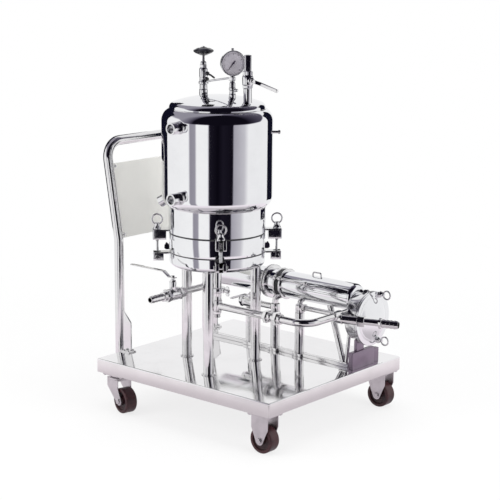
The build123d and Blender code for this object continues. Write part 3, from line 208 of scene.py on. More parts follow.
def plate_steps(thickness, edge=1.0):
    """The steps of a plate with softened edges, for folded()."""
    return rounded([(-2 * edge, 0), (0, 0), (0, thickness), (-2 * edge, thickness)], edge, 4)


def block(centre, x_dir, y_dir, size, edge=1.5, corner=1.5):
    """A block standing on its lower middle point, with soft edges."""
    sx, sy, sz = size
    outline = rounded([(-sx / 2, -sy / 2), (sx / 2, -sy / 2), (sx / 2, sy / 2), (-sx / 2, sy / 2)], corner,
                      4, closed=True)
    return folded(outline, plate_steps(sz, edge), centre, x_dir, y_dir)


def thread(foot, along, radius, length, pitch=2.5, depth=1.0, sides=24):
    """A screw thread as a height field on a cylinder: radius - depth * |saw(height / pitch - angle / turn)|,
    where saw runs from -1 to 1 once a pitch."""
    axis = unit(along)
    side, across = crossways(axis)
    h = np.linspace(0, length, int(length / pitch * 6) + 2)[:, None]
    a = np.linspace(0, 2 * pi, sides, endpoint=False)[None, :]
    saw = np.abs(((h / pitch - a / (2 * pi)) % 1) * 2 - 1)
    r = radius - depth * saw
    r = np.concatenate([np.zeros((1, sides)), r, np.zeros((1, sides))])
    h = np.concatenate([h[:1], h, h[-1:]])
    spoke = np.cos(a)[..., None] * side + np.sin(a)[..., None] * across
    points = np.asarray(foot, float) + h[..., None] * axis + r[..., None] * spoke
    return points.reshape(-1, 3), [grid_faces(len(h), sides)]


def strap(path, side_dir, width, thickness, edge=1.0):
    """A flat bar carried along a path: a rounded rectangle spanned by side_dir and the path's own normal."""
    path = np.asarray(path, float)
    along = unit(np.diff(path, axis=0))
    tangent = unit(np.concatenate([along[:1], along[:-1] + along[1:], along[-1:]]))
    side = unit(np.asarray(side_dir, float))
    normal = unit(np.cross(tangent, side))
    section = rounded([(-width / 2, -thickness / 2), (width / 2, -thickness / 2), (width / 2, thickness / 2),
                       (-width / 2, thickness / 2)], edge, 4, closed=True)
    points = path[:, None] + section[None, :, :1] * side + section[None, :, 1:] * normal[:, None]
    count = len(section)
    caps = [np.arange(count)[None, ::-1], np.arange(count)[None] + (len(path) - 1) * count]
    return points.reshape(-1, 3), [grid_faces(len(path), count)] + caps


def build(name, surfaces, finish, stands_for=(), body="chassis", smooth=32):
    """One piece from several surfaces: points and faces go in as whole arrays, doubled points are merged at
    seams and poles, faces are turned outwards, and edges sharper than `smooth` degrees stay crisp."""
    points = np.concatenate([s[0] for s in surfaces])
    offsets = np.cumsum([0] + [len(s[0]) for s in surfaces[:-1]])
    faces = [f + o for s, o in zip(surfaces, offsets) for f in s[1]]
    corners = np.concatenate([f.ravel() for f in faces])
    sizes = np.concatenate([np.full(len(f), f.shape[1]) for f in faces])
    mesh = bpy.data.meshes.new(name)
    mesh.vertices.add(len(points))
    mesh.vertices.foreach_set("co", ((points + SHIFT) / 1000).ravel())
    mesh.loops.add(len(corners))
    mesh.loops.foreach_set("vertex_index", corners.astype(np.int32))
    mesh.polygons.add(len(sizes))
    mesh.polygons.foreach_set("loop_start", (np.cumsum(sizes) - sizes).astype(np.int32))
    mesh.update(calc_edges=True)
    shell = bmesh.new()
    shell.from_mesh(mesh)
    bmesh.ops.remove_doubles(shell, verts=shell.verts, dist=2e-6)
    bmesh.ops.recalc_face_normals(shell, faces=shell.faces)
    shell.to_mesh(mesh)
    shell.free()
    mesh.shade_smooth()
    mesh.set_sharp_from_angle(angle=radians(smooth))
    mesh.materials.append(finish)
    piece = bpy.data.objects.new(name, mesh)
    bpy.context.scene.collection.objects.link(piece)
    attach(piece, body)
    if stands_for:
        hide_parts(*stands_for)
    print(name, "faces", len(mesh.polygons))
    return piece


# %% [markdown]
# ## Finishes
# Polished steel has hardly any colour of its own: what is seen is the studio. What makes it steel and not
# glass is its faint polishing lines, hand marks that dull the gloss in patches, and a sheet that is never
# quite flat. Hand marks and polishing lines are shader groups, the first used by every finish and the second
# by every steel, each with its own values; the slow wave is added inside the steel finish where it is asked
# for.

# %% Node helpers
def add(tree, kind, **values):
    """A new node, with values for its named properties or inputs."""
    node = tree.nodes.new(kind)
    for key, value in values.items():
        if hasattr(node, key):
            setattr(node, key, value)
        else:
            node.inputs[key.replace("_", " ")].default_value = value
    return node


def group(name, inputs, outputs):
    """An empty shader group with named float inputs and outputs."""
    tree = bpy.data.node_groups.new(name, "ShaderNodeTree")
    for label, value in inputs:
        socket = tree.interface.new_socket(label, in_out="INPUT", socket_type="NodeSocketFloat")
        socket.default_value = value
    for label in outputs:
        tree.interface.new_socket(label, in_out="OUTPUT", socket_type="NodeSocketFloat")
    return tree, tree.nodes.new("NodeGroupInput"), tree.nodes.new("NodeGroupOutput")


# %% Hand marks
marks, entry, leave = group("hand_marks", [("Clean", 0.06), ("Marked", 0.2), ("Size", 9.0)],
                            ["Roughness", "Mask"])
place = add(marks, "ShaderNodeTexCoord")
cloud = add(marks, "ShaderNodeTexNoise", Detail=4.0, Roughness=0.62)
ramp = add(marks, "ShaderNodeMapRange", From_Min=0.42, From_Max=0.78)
blend = add(marks, "ShaderNodeMapRange")
marks.links.new(place.outputs["Object"], cloud.inputs["Vector"])
marks.links.new(entry.outputs["Size"], cloud.inputs["Scale"])
marks.links.new(cloud.outputs["Fac"], ramp.inputs["Value"])
marks.links.new(ramp.outputs["Result"], blend.inputs["Value"])
marks.links.new(entry.outputs["Clean"], blend.inputs["To Min"])
marks.links.new(entry.outputs["Marked"], blend.inputs["To Max"])
marks.links.new(blend.outputs["Result"], leave.inputs["Roughness"])
marks.links.new(ramp.outputs["Result"], leave.inputs["Mask"])

# %% Polishing lines
lines, entry, leave = group("polish_lines", [("Across", 400.0), ("Along", 6.0), ("Upright", 1.0)], ["Height"])
place = add(lines, "ShaderNodeTexCoord")
split = add(lines, "ShaderNodeSeparateXYZ")
join = add(lines, "ShaderNodeCombineXYZ")
flat = add(lines, "ShaderNodeMath", operation="MULTIPLY")
flat_y = add(lines, "ShaderNodeMath", operation="MULTIPLY")
tall = add(lines, "ShaderNodeMath", operation="MULTIPLY")
streak = add(lines, "ShaderNodeTexNoise", Scale=1.0, Detail=3.0, Roughness=0.7)
lines.links.new(place.outputs["Object"], split.inputs["Vector"])
for axis, scaler, label in (("X", flat, "Along"), ("Y", flat_y, "Along"), ("Z", tall, "Across")):
    lines.links.new(split.outputs[axis], scaler.inputs[0])
    lines.links.new(entry.outputs[label], scaler.inputs[1])
    lines.links.new(scaler.outputs["Value"], join.inputs[axis])
lines.links.new(join.outputs["Vector"], streak.inputs["Vector"])
lines.links.new(streak.outputs["Fac"], leave.inputs["Height"])


# %% Steel finishes
def steel(name, colour, clean, marked, size=9.0, across=700.0, along=8.0, line=0.02, wave=0.0, tint=0.06,
          metal=1.0):
    """A steel: Principled BSDF whose roughness comes from the hand marks, whose Normal comes from polishing
    lines and, for sheet, a slow wave, and whose colour darkens a little where it is marked."""
    material = bpy.data.materials.new(name)
    material.use_nodes = True
    tree = material.node_tree
    shader = tree.nodes["Principled BSDF"]
    shader.inputs["Metallic"].default_value = metal
    hand = add(tree, "ShaderNodeGroup", node_tree=marks, Clean=clean, Marked=marked, Size=size)
    polish = add(tree, "ShaderNodeGroup", node_tree=lines, Across=across, Along=along)
    shade = add(tree, "ShaderNodeMix", data_type="RGBA")
    shade.inputs["A"].default_value = (*colour, 1)
    shade.inputs["B"].default_value = (*[c * (1 - tint) for c in colour], 1)
    bump = add(tree, "ShaderNodeBump", Strength=line, Distance=0.001)
    tree.links.new(hand.outputs["Mask"], shade.inputs["Factor"])
    tree.links.new(shade.outputs["Result"], shader.inputs["Base Color"])
    tree.links.new(hand.outputs["Roughness"], shader.inputs["Roughness"])
    tree.links.new(polish.outputs["Height"], bump.inputs["Height"])
    if wave:
        place = add(tree, "ShaderNodeTexCoord")
        slow = add(tree, "ShaderNodeTexNoise", Scale=7.0, Detail=1.0)
        dent = add(tree, "ShaderNodeBump", Strength=wave, Distance=0.002)
        tree.links.new(place.outputs["Object"], slow.inputs["Vector"])
        tree.links.new(slow.outputs["Fac"], dent.inputs["Height"])
        tree.links.new(bump.outputs["Normal"], dent.inputs["Normal"])
        tree.links.new(dent.outputs["Normal"], shader.inputs["Normal"])
    else:
        tree.links.new(bump.outputs["Normal"], shader.inputs["Normal"])
    return material


mirror_steel = steel("mirror_steel", (0.86, 0.865, 0.88), 0.035, 0.10, wave=0.06)
pipe_steel = steel("pipe_steel", (0.8, 0.795, 0.8), 0.09, 0.2, size=22.0, line=0.03)
bright_steel = steel("bright_steel", (0.8, 0.8, 0.81), 0.1, 0.24, size=30.0)
deck_steel = steel("deck_steel", (0.88, 0.875, 0.88), 0.05, 0.16, size=4.0, wave=0.08)
skirt_steel = steel("skirt_steel", (0.9, 0.875, 0.875), 0.34, 0.44, size=8.0, line=0.06)
castor_plated = steel("castor_plated", (0.78, 0.75, 0.77), 0.38, 0.55, size=26.0, line=0.05, tint=0.15)
# Dark purple steel for the pedestal: painted reflection, a dark colour standing in for the dark surroundings
# its polished faces mirror.
dark_reflection_steel = steel("dark_reflection_steel", (0.26, 0.21, 0.27), 0.3, 0.5, size=12.0, line=0.04, tint=0.2)
board_sheet = steel("board_sheet", (0.98, 0.975, 0.93), 0.5, 0.62, size=5.0, line=0.03, metal=0.0)
print("steels made")


# %% Moulded finishes
def moulded(name, colour, dusty, roughness, size=60.0, depth=0.1, coat=0.0):
    """A moulded or painted finish: two shades mixed by noise, with a fine pitted surface."""
    material = bpy.data.materials.new(name)
    material.use_nodes = True
    tree = material.node_tree
    shader = tree.nodes["Principled BSDF"]
    shader.inputs["Coat Weight"].default_value = coat
    hand = add(tree, "ShaderNodeGroup", node_tree=marks, Clean=roughness, Marked=min(1.0, roughness + 0.2),
               Size=size / 3)
    place = add(tree, "ShaderNodeTexCoord")
    grain = add(tree, "ShaderNodeTexNoise", Scale=size * 10, Detail=2.0)
    bump = add(tree, "ShaderNodeBump", Strength=depth, Distance=0.0006)
    shade = add(tree, "ShaderNodeMix", data_type="RGBA")
    shade.inputs["A"].default_value = (*colour, 1)
    shade.inputs["B"].default_value = (*dusty, 1)
    tree.links.new(place.outputs["Object"], grain.inputs["Vector"])
    tree.links.new(grain.outputs["Fac"], bump.inputs["Height"])
    tree.links.new(bump.outputs["Normal"], shader.inputs["Normal"])
    tree.links.new(hand.outputs["Mask"], shade.inputs["Factor"])
    tree.links.new(shade.outputs["Result"], shader.inputs["Base Color"])
    tree.links.new(hand.outputs["Roughness"], shader.inputs["Roughness"])
    return material


wheel_tread = moulded("wheel_tread", (0.028, 0.006, 0.009), (0.09, 0.03, 0.034), 0.3)
wheel_side = moulded("wheel_side", (0.02, 0.006, 0.009), (0.07, 0.03, 0.03), 0.32)
black_moulded = moulded("black_moulded", (0.006, 0.006, 0.009), (0.03, 0.03, 0.04), 0.25, coat=0.4)
dial_face = moulded("dial_face", (0.5, 0.47, 0.52), (0.42, 0.4, 0.45), 0.5, depth=0.02)
dial_ink = moulded("dial_ink", (0.03, 0.02, 0.05), (0.06, 0.05, 0.08), 0.5, depth=0.02)
seal_rubber = moulded("seal_rubber", (0.05, 0.05, 0.055), (0.09, 0.09, 0.095), 0.6)
print("mouldings made")

# %% [markdown]
# ## Main sizes
# Heights are counted up from the floor and the rest from the deck's centre, in millimetres, so the numbers
# read like the ones on a drawing.

# %% Sizes and directions
X, Y, Z = np.eye(3)
DECK_X, DECK_TOP, SKIRT = 876.0, 204.0, 54.0
TANK = np.array([-42.0, -144.0, 0.0])
BASE_Z, SEAM_LOW, SEAM_MID, BAND_TOP = 600.0, 654.0, 727.0, 827.0
JACKET_LOW, JACKET_HIGH, SHOULDER_Z, DOME_Z = 869.0, 1150.0, 1196.0, 1246.0
DRUM_R, JACKET_R, NECK_R, CLAMP_R = 184.0, 210.0, 181.0, 228.0


def out(angle, lift=0.0):
    """The direction away from an upright axis at an angle, tipped up by lift, both in degrees."""
    a, b = radians(angle), radians(lift)
    return np.array([cos(b) * cos(a), cos(b) * sin(a), sin(b)])


def spot(angle, radius, height):
    """A point about the tank's axis."""
    return TANK + radius * out(angle) + height * Z


def dome(r, lift=0.0):
    """Height of the dished head at radius r: top - (R - sqrt(R^2 - r^2)), a ball's cap of radius R."""
    return DOME_Z + lift - (527.0 - np.sqrt(527.0 ** 2 - np.square(r)))


def easing(wall_r, wall_z, end_r, end_z, steps=14):
    """Profile points of the arc that leaves an upright wall smoothly and ends at a smaller radius."""
    run, rise = wall_r - end_r, end_z - wall_z
    big = (run * run + rise * rise) / (2 * run)
    end = np.degrees(np.arctan2(rise, big - run))
    return arc((wall_r - big, wall_z), big, 0, end, steps)


# %% Hexagons, hose tails and screws
def hexagon(foot, along, across, length, edge=1.2, turn=0.0):
    """A six-sided bar with its corners turned off at both ends."""
    r = across / sqrt(3)
    return turned([(0, 0), (r - edge, 0), (r, edge), (r, length - edge), (r - edge, length), (0, length)],
                  foot, along, 6, turn)


def barbed(foot, along, radius, length, bore, barbs=4):
    """A hose tail: a collar, then barbs whose radius falls along each step like a saw's teeth."""
    start, pitch = 12.0, (length - 14.0) / barbs
    teeth = [(radius - drop, start + pitch * (i + step)) for i in range(barbs) for step,
             drop in ((0.02, 0.0), (0.25, 0.0), (1.0, 2.2))]
    outline = [(bore, 0), (radius + 4, 0), (radius + 4, 9), (radius - 2, 11)] + teeth
    outline += [(radius - 3, length), (bore, length), (bore, 0)]
    return turned(outline, foot, along, 40)


def screw(foot, along, radius, height=5.0):
    """A screw head with a rounded rim over a thin washer."""
    head = [(0, 0), (radius * 1.5, 0), (radius * 1.5, 1.2), (radius, 1.2), (radius, height - 1.5)]
    head += [(radius - 1, height - 0.4), (radius * 0.55, height), (0, height)]
    return turned(head, foot, along, 20)


def welded(centre, along, radius, size=1.6):
    """A weld bead round a foot: a torus whose small radius ripples with the welder's steps."""
    a, b = np.linspace(0, 2 * pi, 96, endpoint=False)[:, None], np.linspace(0, 2 * pi, 9,
                                                                            endpoint=False)[None, :]
    side, across = crossways(along)
    small = size * (1 + 0.12 * np.cos(40 * a))
    r, h = radius + small * np.cos(b), small * np.sin(b)
    spoke = np.cos(a)[..., None] * side + np.sin(a)[..., None] * across
    points = np.asarray(centre, float) + r[..., None] * spoke \
        + h[..., None] * unit(along)
    return points.reshape(-1, 3), [grid_faces(96, 9, wrap_rows=True)]


# %% [markdown]
# ## The vessel
# The dished head, the steam jacket and the drum are all turned about one axis. The jacket's ends ease into
# the shell, and a weld bead closes each joint. Dark seals sit in the grooves between the drum's rings.

# %% Tank and head
head = rounded([(NECK_R, SHOULDER_Z - 12), (NECK_R, dome(NECK_R)), (150, dome(150))], 20, 9)[:-1]
crown_r = np.linspace(150, 0, 24)
outline = [(0, SEAM_MID + 2), (DRUM_R - 4, SEAM_MID + 2), (DRUM_R + 1, SEAM_MID + 3),
           (DRUM_R + 1, BAND_TOP + 1),
           (NECK_R, BAND_TOP + 3), *head, *np.stack([crown_r, dome(crown_r)], -1)]
build("tank_shell", [turned(outline, TANK, Z, 160)], mirror_steel, ["inner_tank"])

# %% Steam jacket
skin = np.concatenate([easing(JACKET_R, JACKET_LOW, DRUM_R + 1, BAND_TOP)[::-1],
                       easing(JACKET_R, JACKET_HIGH, NECK_R, SHOULDER_Z)])
lining = skin[::-1] - [3, 0]
build("steam_jacket", [turned(np.concatenate([skin, lining, skin[:1]]), TANK, Z, 160)], mirror_steel,
      ["heating_jacket"])
build("jacket_welds", [welded(TANK + SHOULDER_Z * Z, Z, NECK_R + 0.6),
                       welded(TANK + BAND_TOP * Z, Z, DRUM_R + 1.6)],
      pipe_steel)

# %% Drum rings and seals
pan = rounded([(0, BASE_Z), (DRUM_R - 1, BASE_Z), (DRUM_R - 1, SEAM_LOW - 3)], 18, 9)
rim = rounded([(DRUM_R - 1, SEAM_LOW - 14), (DRUM_R - 1, SEAM_LOW - 3), (DRUM_R - 8, SEAM_LOW - 3)], 1.2, 4)
build("drum_pan", [turned([*pan[:-1], *rim, (0, SEAM_LOW - 3)], TANK, Z, 160)], mirror_steel, ["drum_base"])
band = rounded([(150, SEAM_LOW + 1), (DRUM_R, SEAM_LOW + 1), (DRUM_R, SEAM_MID - 3), (150, SEAM_MID - 3)],
               1.2, 4)
surfaces = [turned([*band, band[0]], TANK, Z, 160)]
for angle in (-135, -45, 45, 135):
    ear = rounded([(-3, 0), (12, 0), (18, 6), (18, 16), (10, 30), (-3, 18)], 3, 4, closed=True)
    surfaces.append(folded(ear, plate_steps(6), spot(angle, DRUM_R, SEAM_LOW + 3) + 3 * out(angle + 90),
                           out(angle), Z))
build("middle_ring", surfaces, mirror_steel, ["plate_ring"])
build("drum_seals", [turned(rounded([(150, z), (r, z), (r, z + 5.0), (150, z + 5.0)], 1.4, 4), TANK, Z, 120)
                     for z, r in ((SEAM_LOW - 3.5, DRUM_R - 2.2), (SEAM_MID - 3.0, DRUM_R - 2.2))],
      seal_rubber)

# %% Legs
surfaces = []
for angle in (180, -60, 60):
    foot, top = spot(angle, 158, DECK_TOP), spot(angle, 158, BASE_Z + 8)
    surfaces += [tube([foot, top], 20, 18, 48), rod(foot, foot + 4 * Z, 27, 1.5, 48),
                 welded(foot + 4 * Z, Z, 20.5),
                 welded(top - 8 * Z, Z, 20.5)]
build("tank_legs", surfaces, pipe_steel, ["vessel_legs"])

# %% Clamp lugs
LUG_UP, LUG_LOW, TAB_UP, TAB_LOW = SEAM_MID - 29, BASE_Z + 18, SEAM_MID + 3, SEAM_LOW - 11


def forked(angle, near, far, slot_in, low, high):
    """A block standing out from the drum, open at its outer end for the bolt."""
    outline = [(near, -20), (far, -20), (far, -7), (slot_in, -7), (slot_in, 7), (far, 7), (far, 20),
               (near, 20)]
    return folded(rounded(outline, 1.8, 4, closed=True), plate_steps(high - low, 1.2), TANK + low * Z,
                  out(angle), out(angle + 90))


upper, lower = [], []
for angle in (-135, -45, 45, 135):
    upper += [forked(angle, DRUM_R + 10, DRUM_R + 62, CLAMP_R - 8, LUG_UP, TAB_UP + 4),
              forked(angle, DRUM_R + 0.6, DRUM_R + 62, CLAMP_R - 8, TAB_UP, TAB_UP + 7)]
    pin = spot(angle, CLAMP_R, LUG_LOW + 15)
    lower += [forked(angle, DRUM_R + 20, DRUM_R + 60, CLAMP_R - 11, LUG_LOW, TAB_LOW + 4),
              forked(angle, DRUM_R - 0.6, DRUM_R + 60, CLAMP_R - 11, TAB_LOW, TAB_LOW + 7),
              hexagon(pin - 26 * out(angle + 90), out(angle + 90), 15, 6),
              rod(pin - 21 * out(angle + 90), pin + 24 * out(angle + 90), 5),
              hexagon(pin + 20 * out(angle + 90), out(angle + 90), 15, 6)]
build("lugs_upper", upper, bright_steel, ["upper_lugs"])
build("lugs_lower", lower, bright_steel, ["lower_lugs"])


# %% Swing bolts and ring nuts
def ring_nut(seat, axis, across, ring_r, scale=1.0):
    """A nut with a lifting ring: a flange, a cone that narrows into a neck, and a ring above it."""
    body = np.array([(0, 0), (15, 0), (15.6, 0.8), (15.6, 4), (14.5, 5), (12, 10), (9.5, 16), (9, 22),
                     (6, 25), (0, 25)]) * scale
    return [turned(body, seat, axis, 32), ring(np.asarray(seat) + (18 * scale + ring_r) * unit(axis),
                                               across, ring_r, 3.2, 48, 16)]


surfaces = []
for angle, turn in zip((-135, -45, 45, 135), (0, 90, 0, 0)):
    eye, seat = spot(angle, CLAMP_R, LUG_LOW + 15), spot(angle, CLAMP_R, TAB_UP + 7)
    surfaces += [rod(eye - 6.5 * out(angle + 90), eye + 6.5 * out(angle + 90), 10, 1.5),
                 rod(eye, eye + 60 * Z, 5.2),
                 thread(eye + 58 * Z, Z, 6, seat[2] - eye[2] - 50, 1.9, 0.8),
                 *ring_nut(seat, Z, out(angle + 90 - turn), 19.5)]
build("ring_nut_bolts", surfaces, bright_steel, ["swing_bolts"])

# %% Jacket sockets
drain_out = out(-163, -30.8)
drain_at = spot(-163, 203.5, 843)
stub = spot(42, JACKET_R - 8, SHOULDER_Z - 90)
surfaces = [tube([drain_at - 14 * drain_out, drain_at + 42 * drain_out], 22.5, 16, 48),
            tube([stub, stub + 35 * out(42)], 5.5, 3.5)]
surfaces.append(rod(stub + 26 * out(42), stub + 34 * out(42), 8))
for z in (JACKET_HIGH - 10, JACKET_LOW + 10):
    mouth = rounded([(16, 0), (22.5, 0), (22.5, 55), (16.8, 55), (16, 53), (16, 0)], 0.8, 3)
    surfaces += [turned(mouth, spot(-90, JACKET_R - 8, z), -Y, 56),
                 welded(spot(-90, JACKET_R - 0.6, z), -Y, 23.2, 1.8)]
build("sockets", surfaces, bright_steel, ["jacket_sockets"])

# %% [markdown]
# ## Fittings on the head
# From the handle's side to the far one: a vent valve under a lobed black handwheel, a pressure gauge, and
# an air valve with a long cranked lever.

# %% Vent valve
VENT = TANK * [0, 1, 0] + [-112, 0, DOME_Z]
GAUGE = TANK * [0, 1, 0] + [32, 0, DOME_Z]
AIR = TANK * [0, 1, 0] + [106, 0, DOME_Z]
body = [(0, -14), (16, -14), (16, 14), (14.5, 16), (14.5, 34), (18.5, 36), (18.5, 44), (15, 46), (15, 60),
        (16, 62), (16, 92),
        (14.5, 94), (11.8, 98), (11.8, 106), (10.8, 108), (10.8, 116), (9, 120), (0, 120)]
surfaces = [turned(rounded(body, 0.9, 3), VENT, Z, 40), hexagon(VENT + 96 * Z, Z, 25, 12),
            tube(rounded([VENT + [12, 0, 44], VENT + [40, 0, 50], GAUGE + [-22, 0, 64],
                          GAUGE + [-10, 0, 66]], 12, 6), 4, 0, 20)]
build("vent_valve", surfaces, bright_steel, ["vent_body"])
surfaces = [rod(VENT + [13, 0, 75], VENT + [25, 0, 75], 7.5, 2.5),
            rod(VENT + [14, 0, 54], VENT + [23, 0, 54], 7, 2.5),
            tube(rounded([VENT + [22, 0, 73], VENT + [36, 0, 70], VENT + [54, 0, 61]], 10, 5), 3.6, 0, 16)]
build("vent_knobs", surfaces, black_moulded)

# %% Lobed handwheel
profile = rounded([(0, 142), (12, 142), (16, 144), (31, 150), (39, 156), (38, 162), (24, 169), (15, 170),
                   (9, 173), (0, 173)], 4, 4)
a = np.linspace(0, 2 * pi, 144, endpoint=False)[None, :]
share = (profile[:, :1] / 39) ** 3
radius = profile[:, :1] * (1 - 0.17 * share * (0.5 - 0.5 * np.cos(6 * a)) ** 2)
points = VENT + np.stack([radius * np.cos(a), radius * np.sin(a), profile[:, 1:] + 0 * a], -1)
build("handwheel_lobes", [(points.reshape(-1, 3), [grid_faces(len(profile), 144)])], black_moulded,
      ["handwheel"], "vent_handwheel")
build("handwheel_spindle", [thread(VENT + 104 * Z, Z, 5.2, 40, 2.2, 0.7), hexagon(VENT + 171 * Z, Z, 9, 5)],
      bright_steel, body="vent_handwheel")

# %% Pressure gauge
AIM = out(-32)
LEVEL = out(58)
DIAL = GAUGE + 121 * Z
body = [(0, -12), (13, -12), (13, 6), (11, 8), (11, 20), (13, 22), (13, 30), (11, 32), (11, 48), (8, 52),
        (8, 80), (0, 80)]
case = [(0, -14), (40, -14), (43, -12), (45, -8), (45, 7), (47, 8), (47, 12.5), (45.5, 14), (42.5, 14),
        (41.5, 12), (41.5, 8), (0, 8)]
surfaces = [turned(rounded(body, 0.9, 3), GAUGE, Z, 36), hexagon(GAUGE + 56 * Z, Z, 25, 14),
            turned(rounded(case, 0.8, 3), DIAL, AIM, 72),
            rod(DIAL + 44 * Z, DIAL + 55 * Z, 5, 2), rod(GAUGE + [10, 0, 22], GAUGE + [25, 0, 22], 5.5, 2)]
build("gauge_body", surfaces, bright_steel, ["gauge_case"])
build("gauge_card", [turned([(0, 8.1), (41.4, 8.1), (41.4, 9), (0, 9)], DIAL, AIM, 72)], dial_face,
      ["gauge_dial"])
ticks = []
for i in range(41):
    a = radians(225 - 270 * i / 40)
    ray = cos(a) * LEVEL + sin(a) * Z
    inner = 31 if i % 5 == 0 else 34.5
    ticks.append(block(DIAL + 9.0 * AIM + (inner + 38) / 2 * ray, ray, np.cross(AIM, ray),
                       (38 - inner, 1.5 if i % 5 == 0 else 0.8, 0.3), 0.1, 0.1))
tip = -0.62 * LEVEL - 0.78 * Z
pointer = [(-12, -2.2), (-12, 2.2), (0, 2.4), (33, 0.5), (33, -0.5), (0, -2.4)]
ticks += [folded(pointer[::-1], plate_steps(0.8, 0.2), DIAL + 10.4 * AIM, tip, np.cross(AIM, tip)),
          rod(DIAL + 9 * AIM, DIAL + 12.4 * AIM, 3.6)]
build("gauge_marks", ticks, dial_ink)


# %% Cranked levers
def lever(stem, axis, run, length, rise, step, width):
    """A flat bar on a stem: level, up a slope, then level to a rounded end, with a nut on the stem."""
    run, axis = unit(run), unit(axis)
    path = rounded([stem - 12 * run + 2 * axis, stem + step * 0.4 * run + 2 * axis,
                    stem + step * run + (rise + 2) * axis,
                    stem + (length - 1) * run + (rise + 2) * axis], 9, 5)
    across = np.cross(axis, run)
    tip = stem + (length - width / 2) * run + (rise + 0.2) * axis
    end = arc((0, 0), width / 2, 0, 360, 25)[:-1]
    path = np.concatenate([path[:-1], [tip - 2 * run + 1.8 * axis]])
    return [strap(path, across, width, 3.6), folded(end, plate_steps(3.6), tip, run, across),
            hexagon(stem + 3.5 * axis, axis, 13, 5.5)]


# %% Air valve
A = out(-15)
mid = AIR + 62 * Z
body = [(0, -20), (15.5, -20), (15.5, 32), (18, 35), (18, 44), (20.5, 48), (20.5, 76), (18, 80), (18, 95),
        (13.5, 98), (13.5, 155),
        (9, 155), (9, 120), (0, 120)]
surfaces = [turned(rounded(body, 1.0, 3), AIR, Z, 44), hexagon(AIR + 34 * Z, Z, 35, 12),
            hexagon(AIR + 82 * Z, Z, 35, 14),
            rod(mid + 14 * A, mid + 26 * A, 12.5), rod(mid + 24 * A, mid + 33 * A, 5)]
build("air_valve_body", surfaces, bright_steel, ["air_valve"])
build("air_valve_lever", lever(mid + 30.3 * A, A, out(75, -22), 116, 10, 30, 13), pipe_steel, ["air_lever"],
      "air_valve_lever")


# %% Ball valves
def ball_valve(centre, along, upward, length, radius, stem_top):
    """A ball valve: hexagonal ends, a round waist and a stem housing with its packing nut."""
    end = length / 2
    waist = rounded([(0, -end + 20), (radius - 2, -end + 20), (radius, -end + 26), (radius, end - 26),
                     (radius - 2, end - 20), (0, end - 20)], 3, 4)
    sides = [turned(waist, centre, along, 44)]
    for way in (-1, 1):
        foot = np.asarray(centre) + way * (end - 21) * unit(along)
        sides += [hexagon(foot, way * unit(along), 2 * radius - 3, 14),
                  rod(foot, foot + way * 20.9 * unit(along), radius - 5, 1)]
    return sides + [rod(centre + (radius - 4) * upward, centre + (stem_top - 12) * upward, 13, 2),
                    hexagon(centre + (stem_top - 14) * upward, upward, 20, 7),
                    rod(centre + (stem_top - 8) * upward, centre + stem_top * upward, 6)]


# %% Outlet line
OUTLET = TANK * [1, 0, 0] + [0, -391, 523]
path = rounded([TANK * [1, 0, 0] + [0, -196, BASE_Z - 1], OUTLET * [1, 0, 1] - 196 * Y, OUTLET + 45 * Y],
               42, 12)
surfaces = [tube(path, 12.7, 0, 36), barbed(OUTLET - 46 * Y, -Y, 14, 76, 9),
            hexagon(OUTLET + 44 * Y, Y, 34, 16),
            welded(TANK * [1, 0, 0] + [0, -196, BASE_Z - 0.5], Z, 13.4)]
build("outlet_line", surfaces, pipe_steel, ["outlet_pipe"])
build("outlet_ball_valve", ball_valve(OUTLET, Y, Z, 92, 23, 62), bright_steel, ["outlet_valve"])
build("outlet_valve_handle", lever(OUTLET + 62.3 * Z, Z, -X, 218, 18, 46, 18), pipe_steel, ["outlet_lever"],
      "outlet_valve_lever")

# %% Centre outlet, its clamp and the drain tail
MAIN_Z = 434.0
centre = TANK
pipe = [(0, BASE_Z + 2), (17, BASE_Z), (17, 506), (24, 502), (24, 499), (19, 498), (24, 497), (24, 494),
        (17, 490), (17, MAIN_Z + 24),
        (19.5, MAIN_Z + 21), (19.5, MAIN_Z - 21), (13.5, MAIN_Z - 25), (13.5, 388), (10, 388),
        (10, MAIN_Z - 20), (0, MAIN_Z - 20)]
build("centre_outlet", [turned(rounded(pipe, 0.8, 3), centre, Z, 48), hexagon(centre + 402 * Z, Z, 30, 11),
                        welded(centre + (BASE_Z - 0.5) * Z, Z, 17.8)],
      pipe_steel, ["centre_pipe"])
collar = rounded([(20, 489), (30, 489), (31, 491), (31, 505), (30, 507), (20, 507)], 1.5, 4)
wing = centre + [53, 0, 498]
surfaces = [turned([*collar, collar[0]], centre, Z, 60), rod(centre + [26, 0, 498], centre + [60, 0, 498], 4),
            block(centre + [31, 0, 489], X, Y, (12, 14, 18)), rod(wing - 9 * X, wing + 7 * X, 8, 2)]
blade = rounded([(-5, -3), (5, -3), (9, 12), (6, 19), (-6, 19), (-9, 12)], 3.5, 4, closed=True)
surfaces += [folded(blade, plate_steps(3.4), wing + 1.7 * Y, X, Z),
             folded(blade, plate_steps(3.4), wing - 1.7 * Y, X, -Z)]
build("ferrule_clamp", surfaces, bright_steel, ["centre_clamp"])

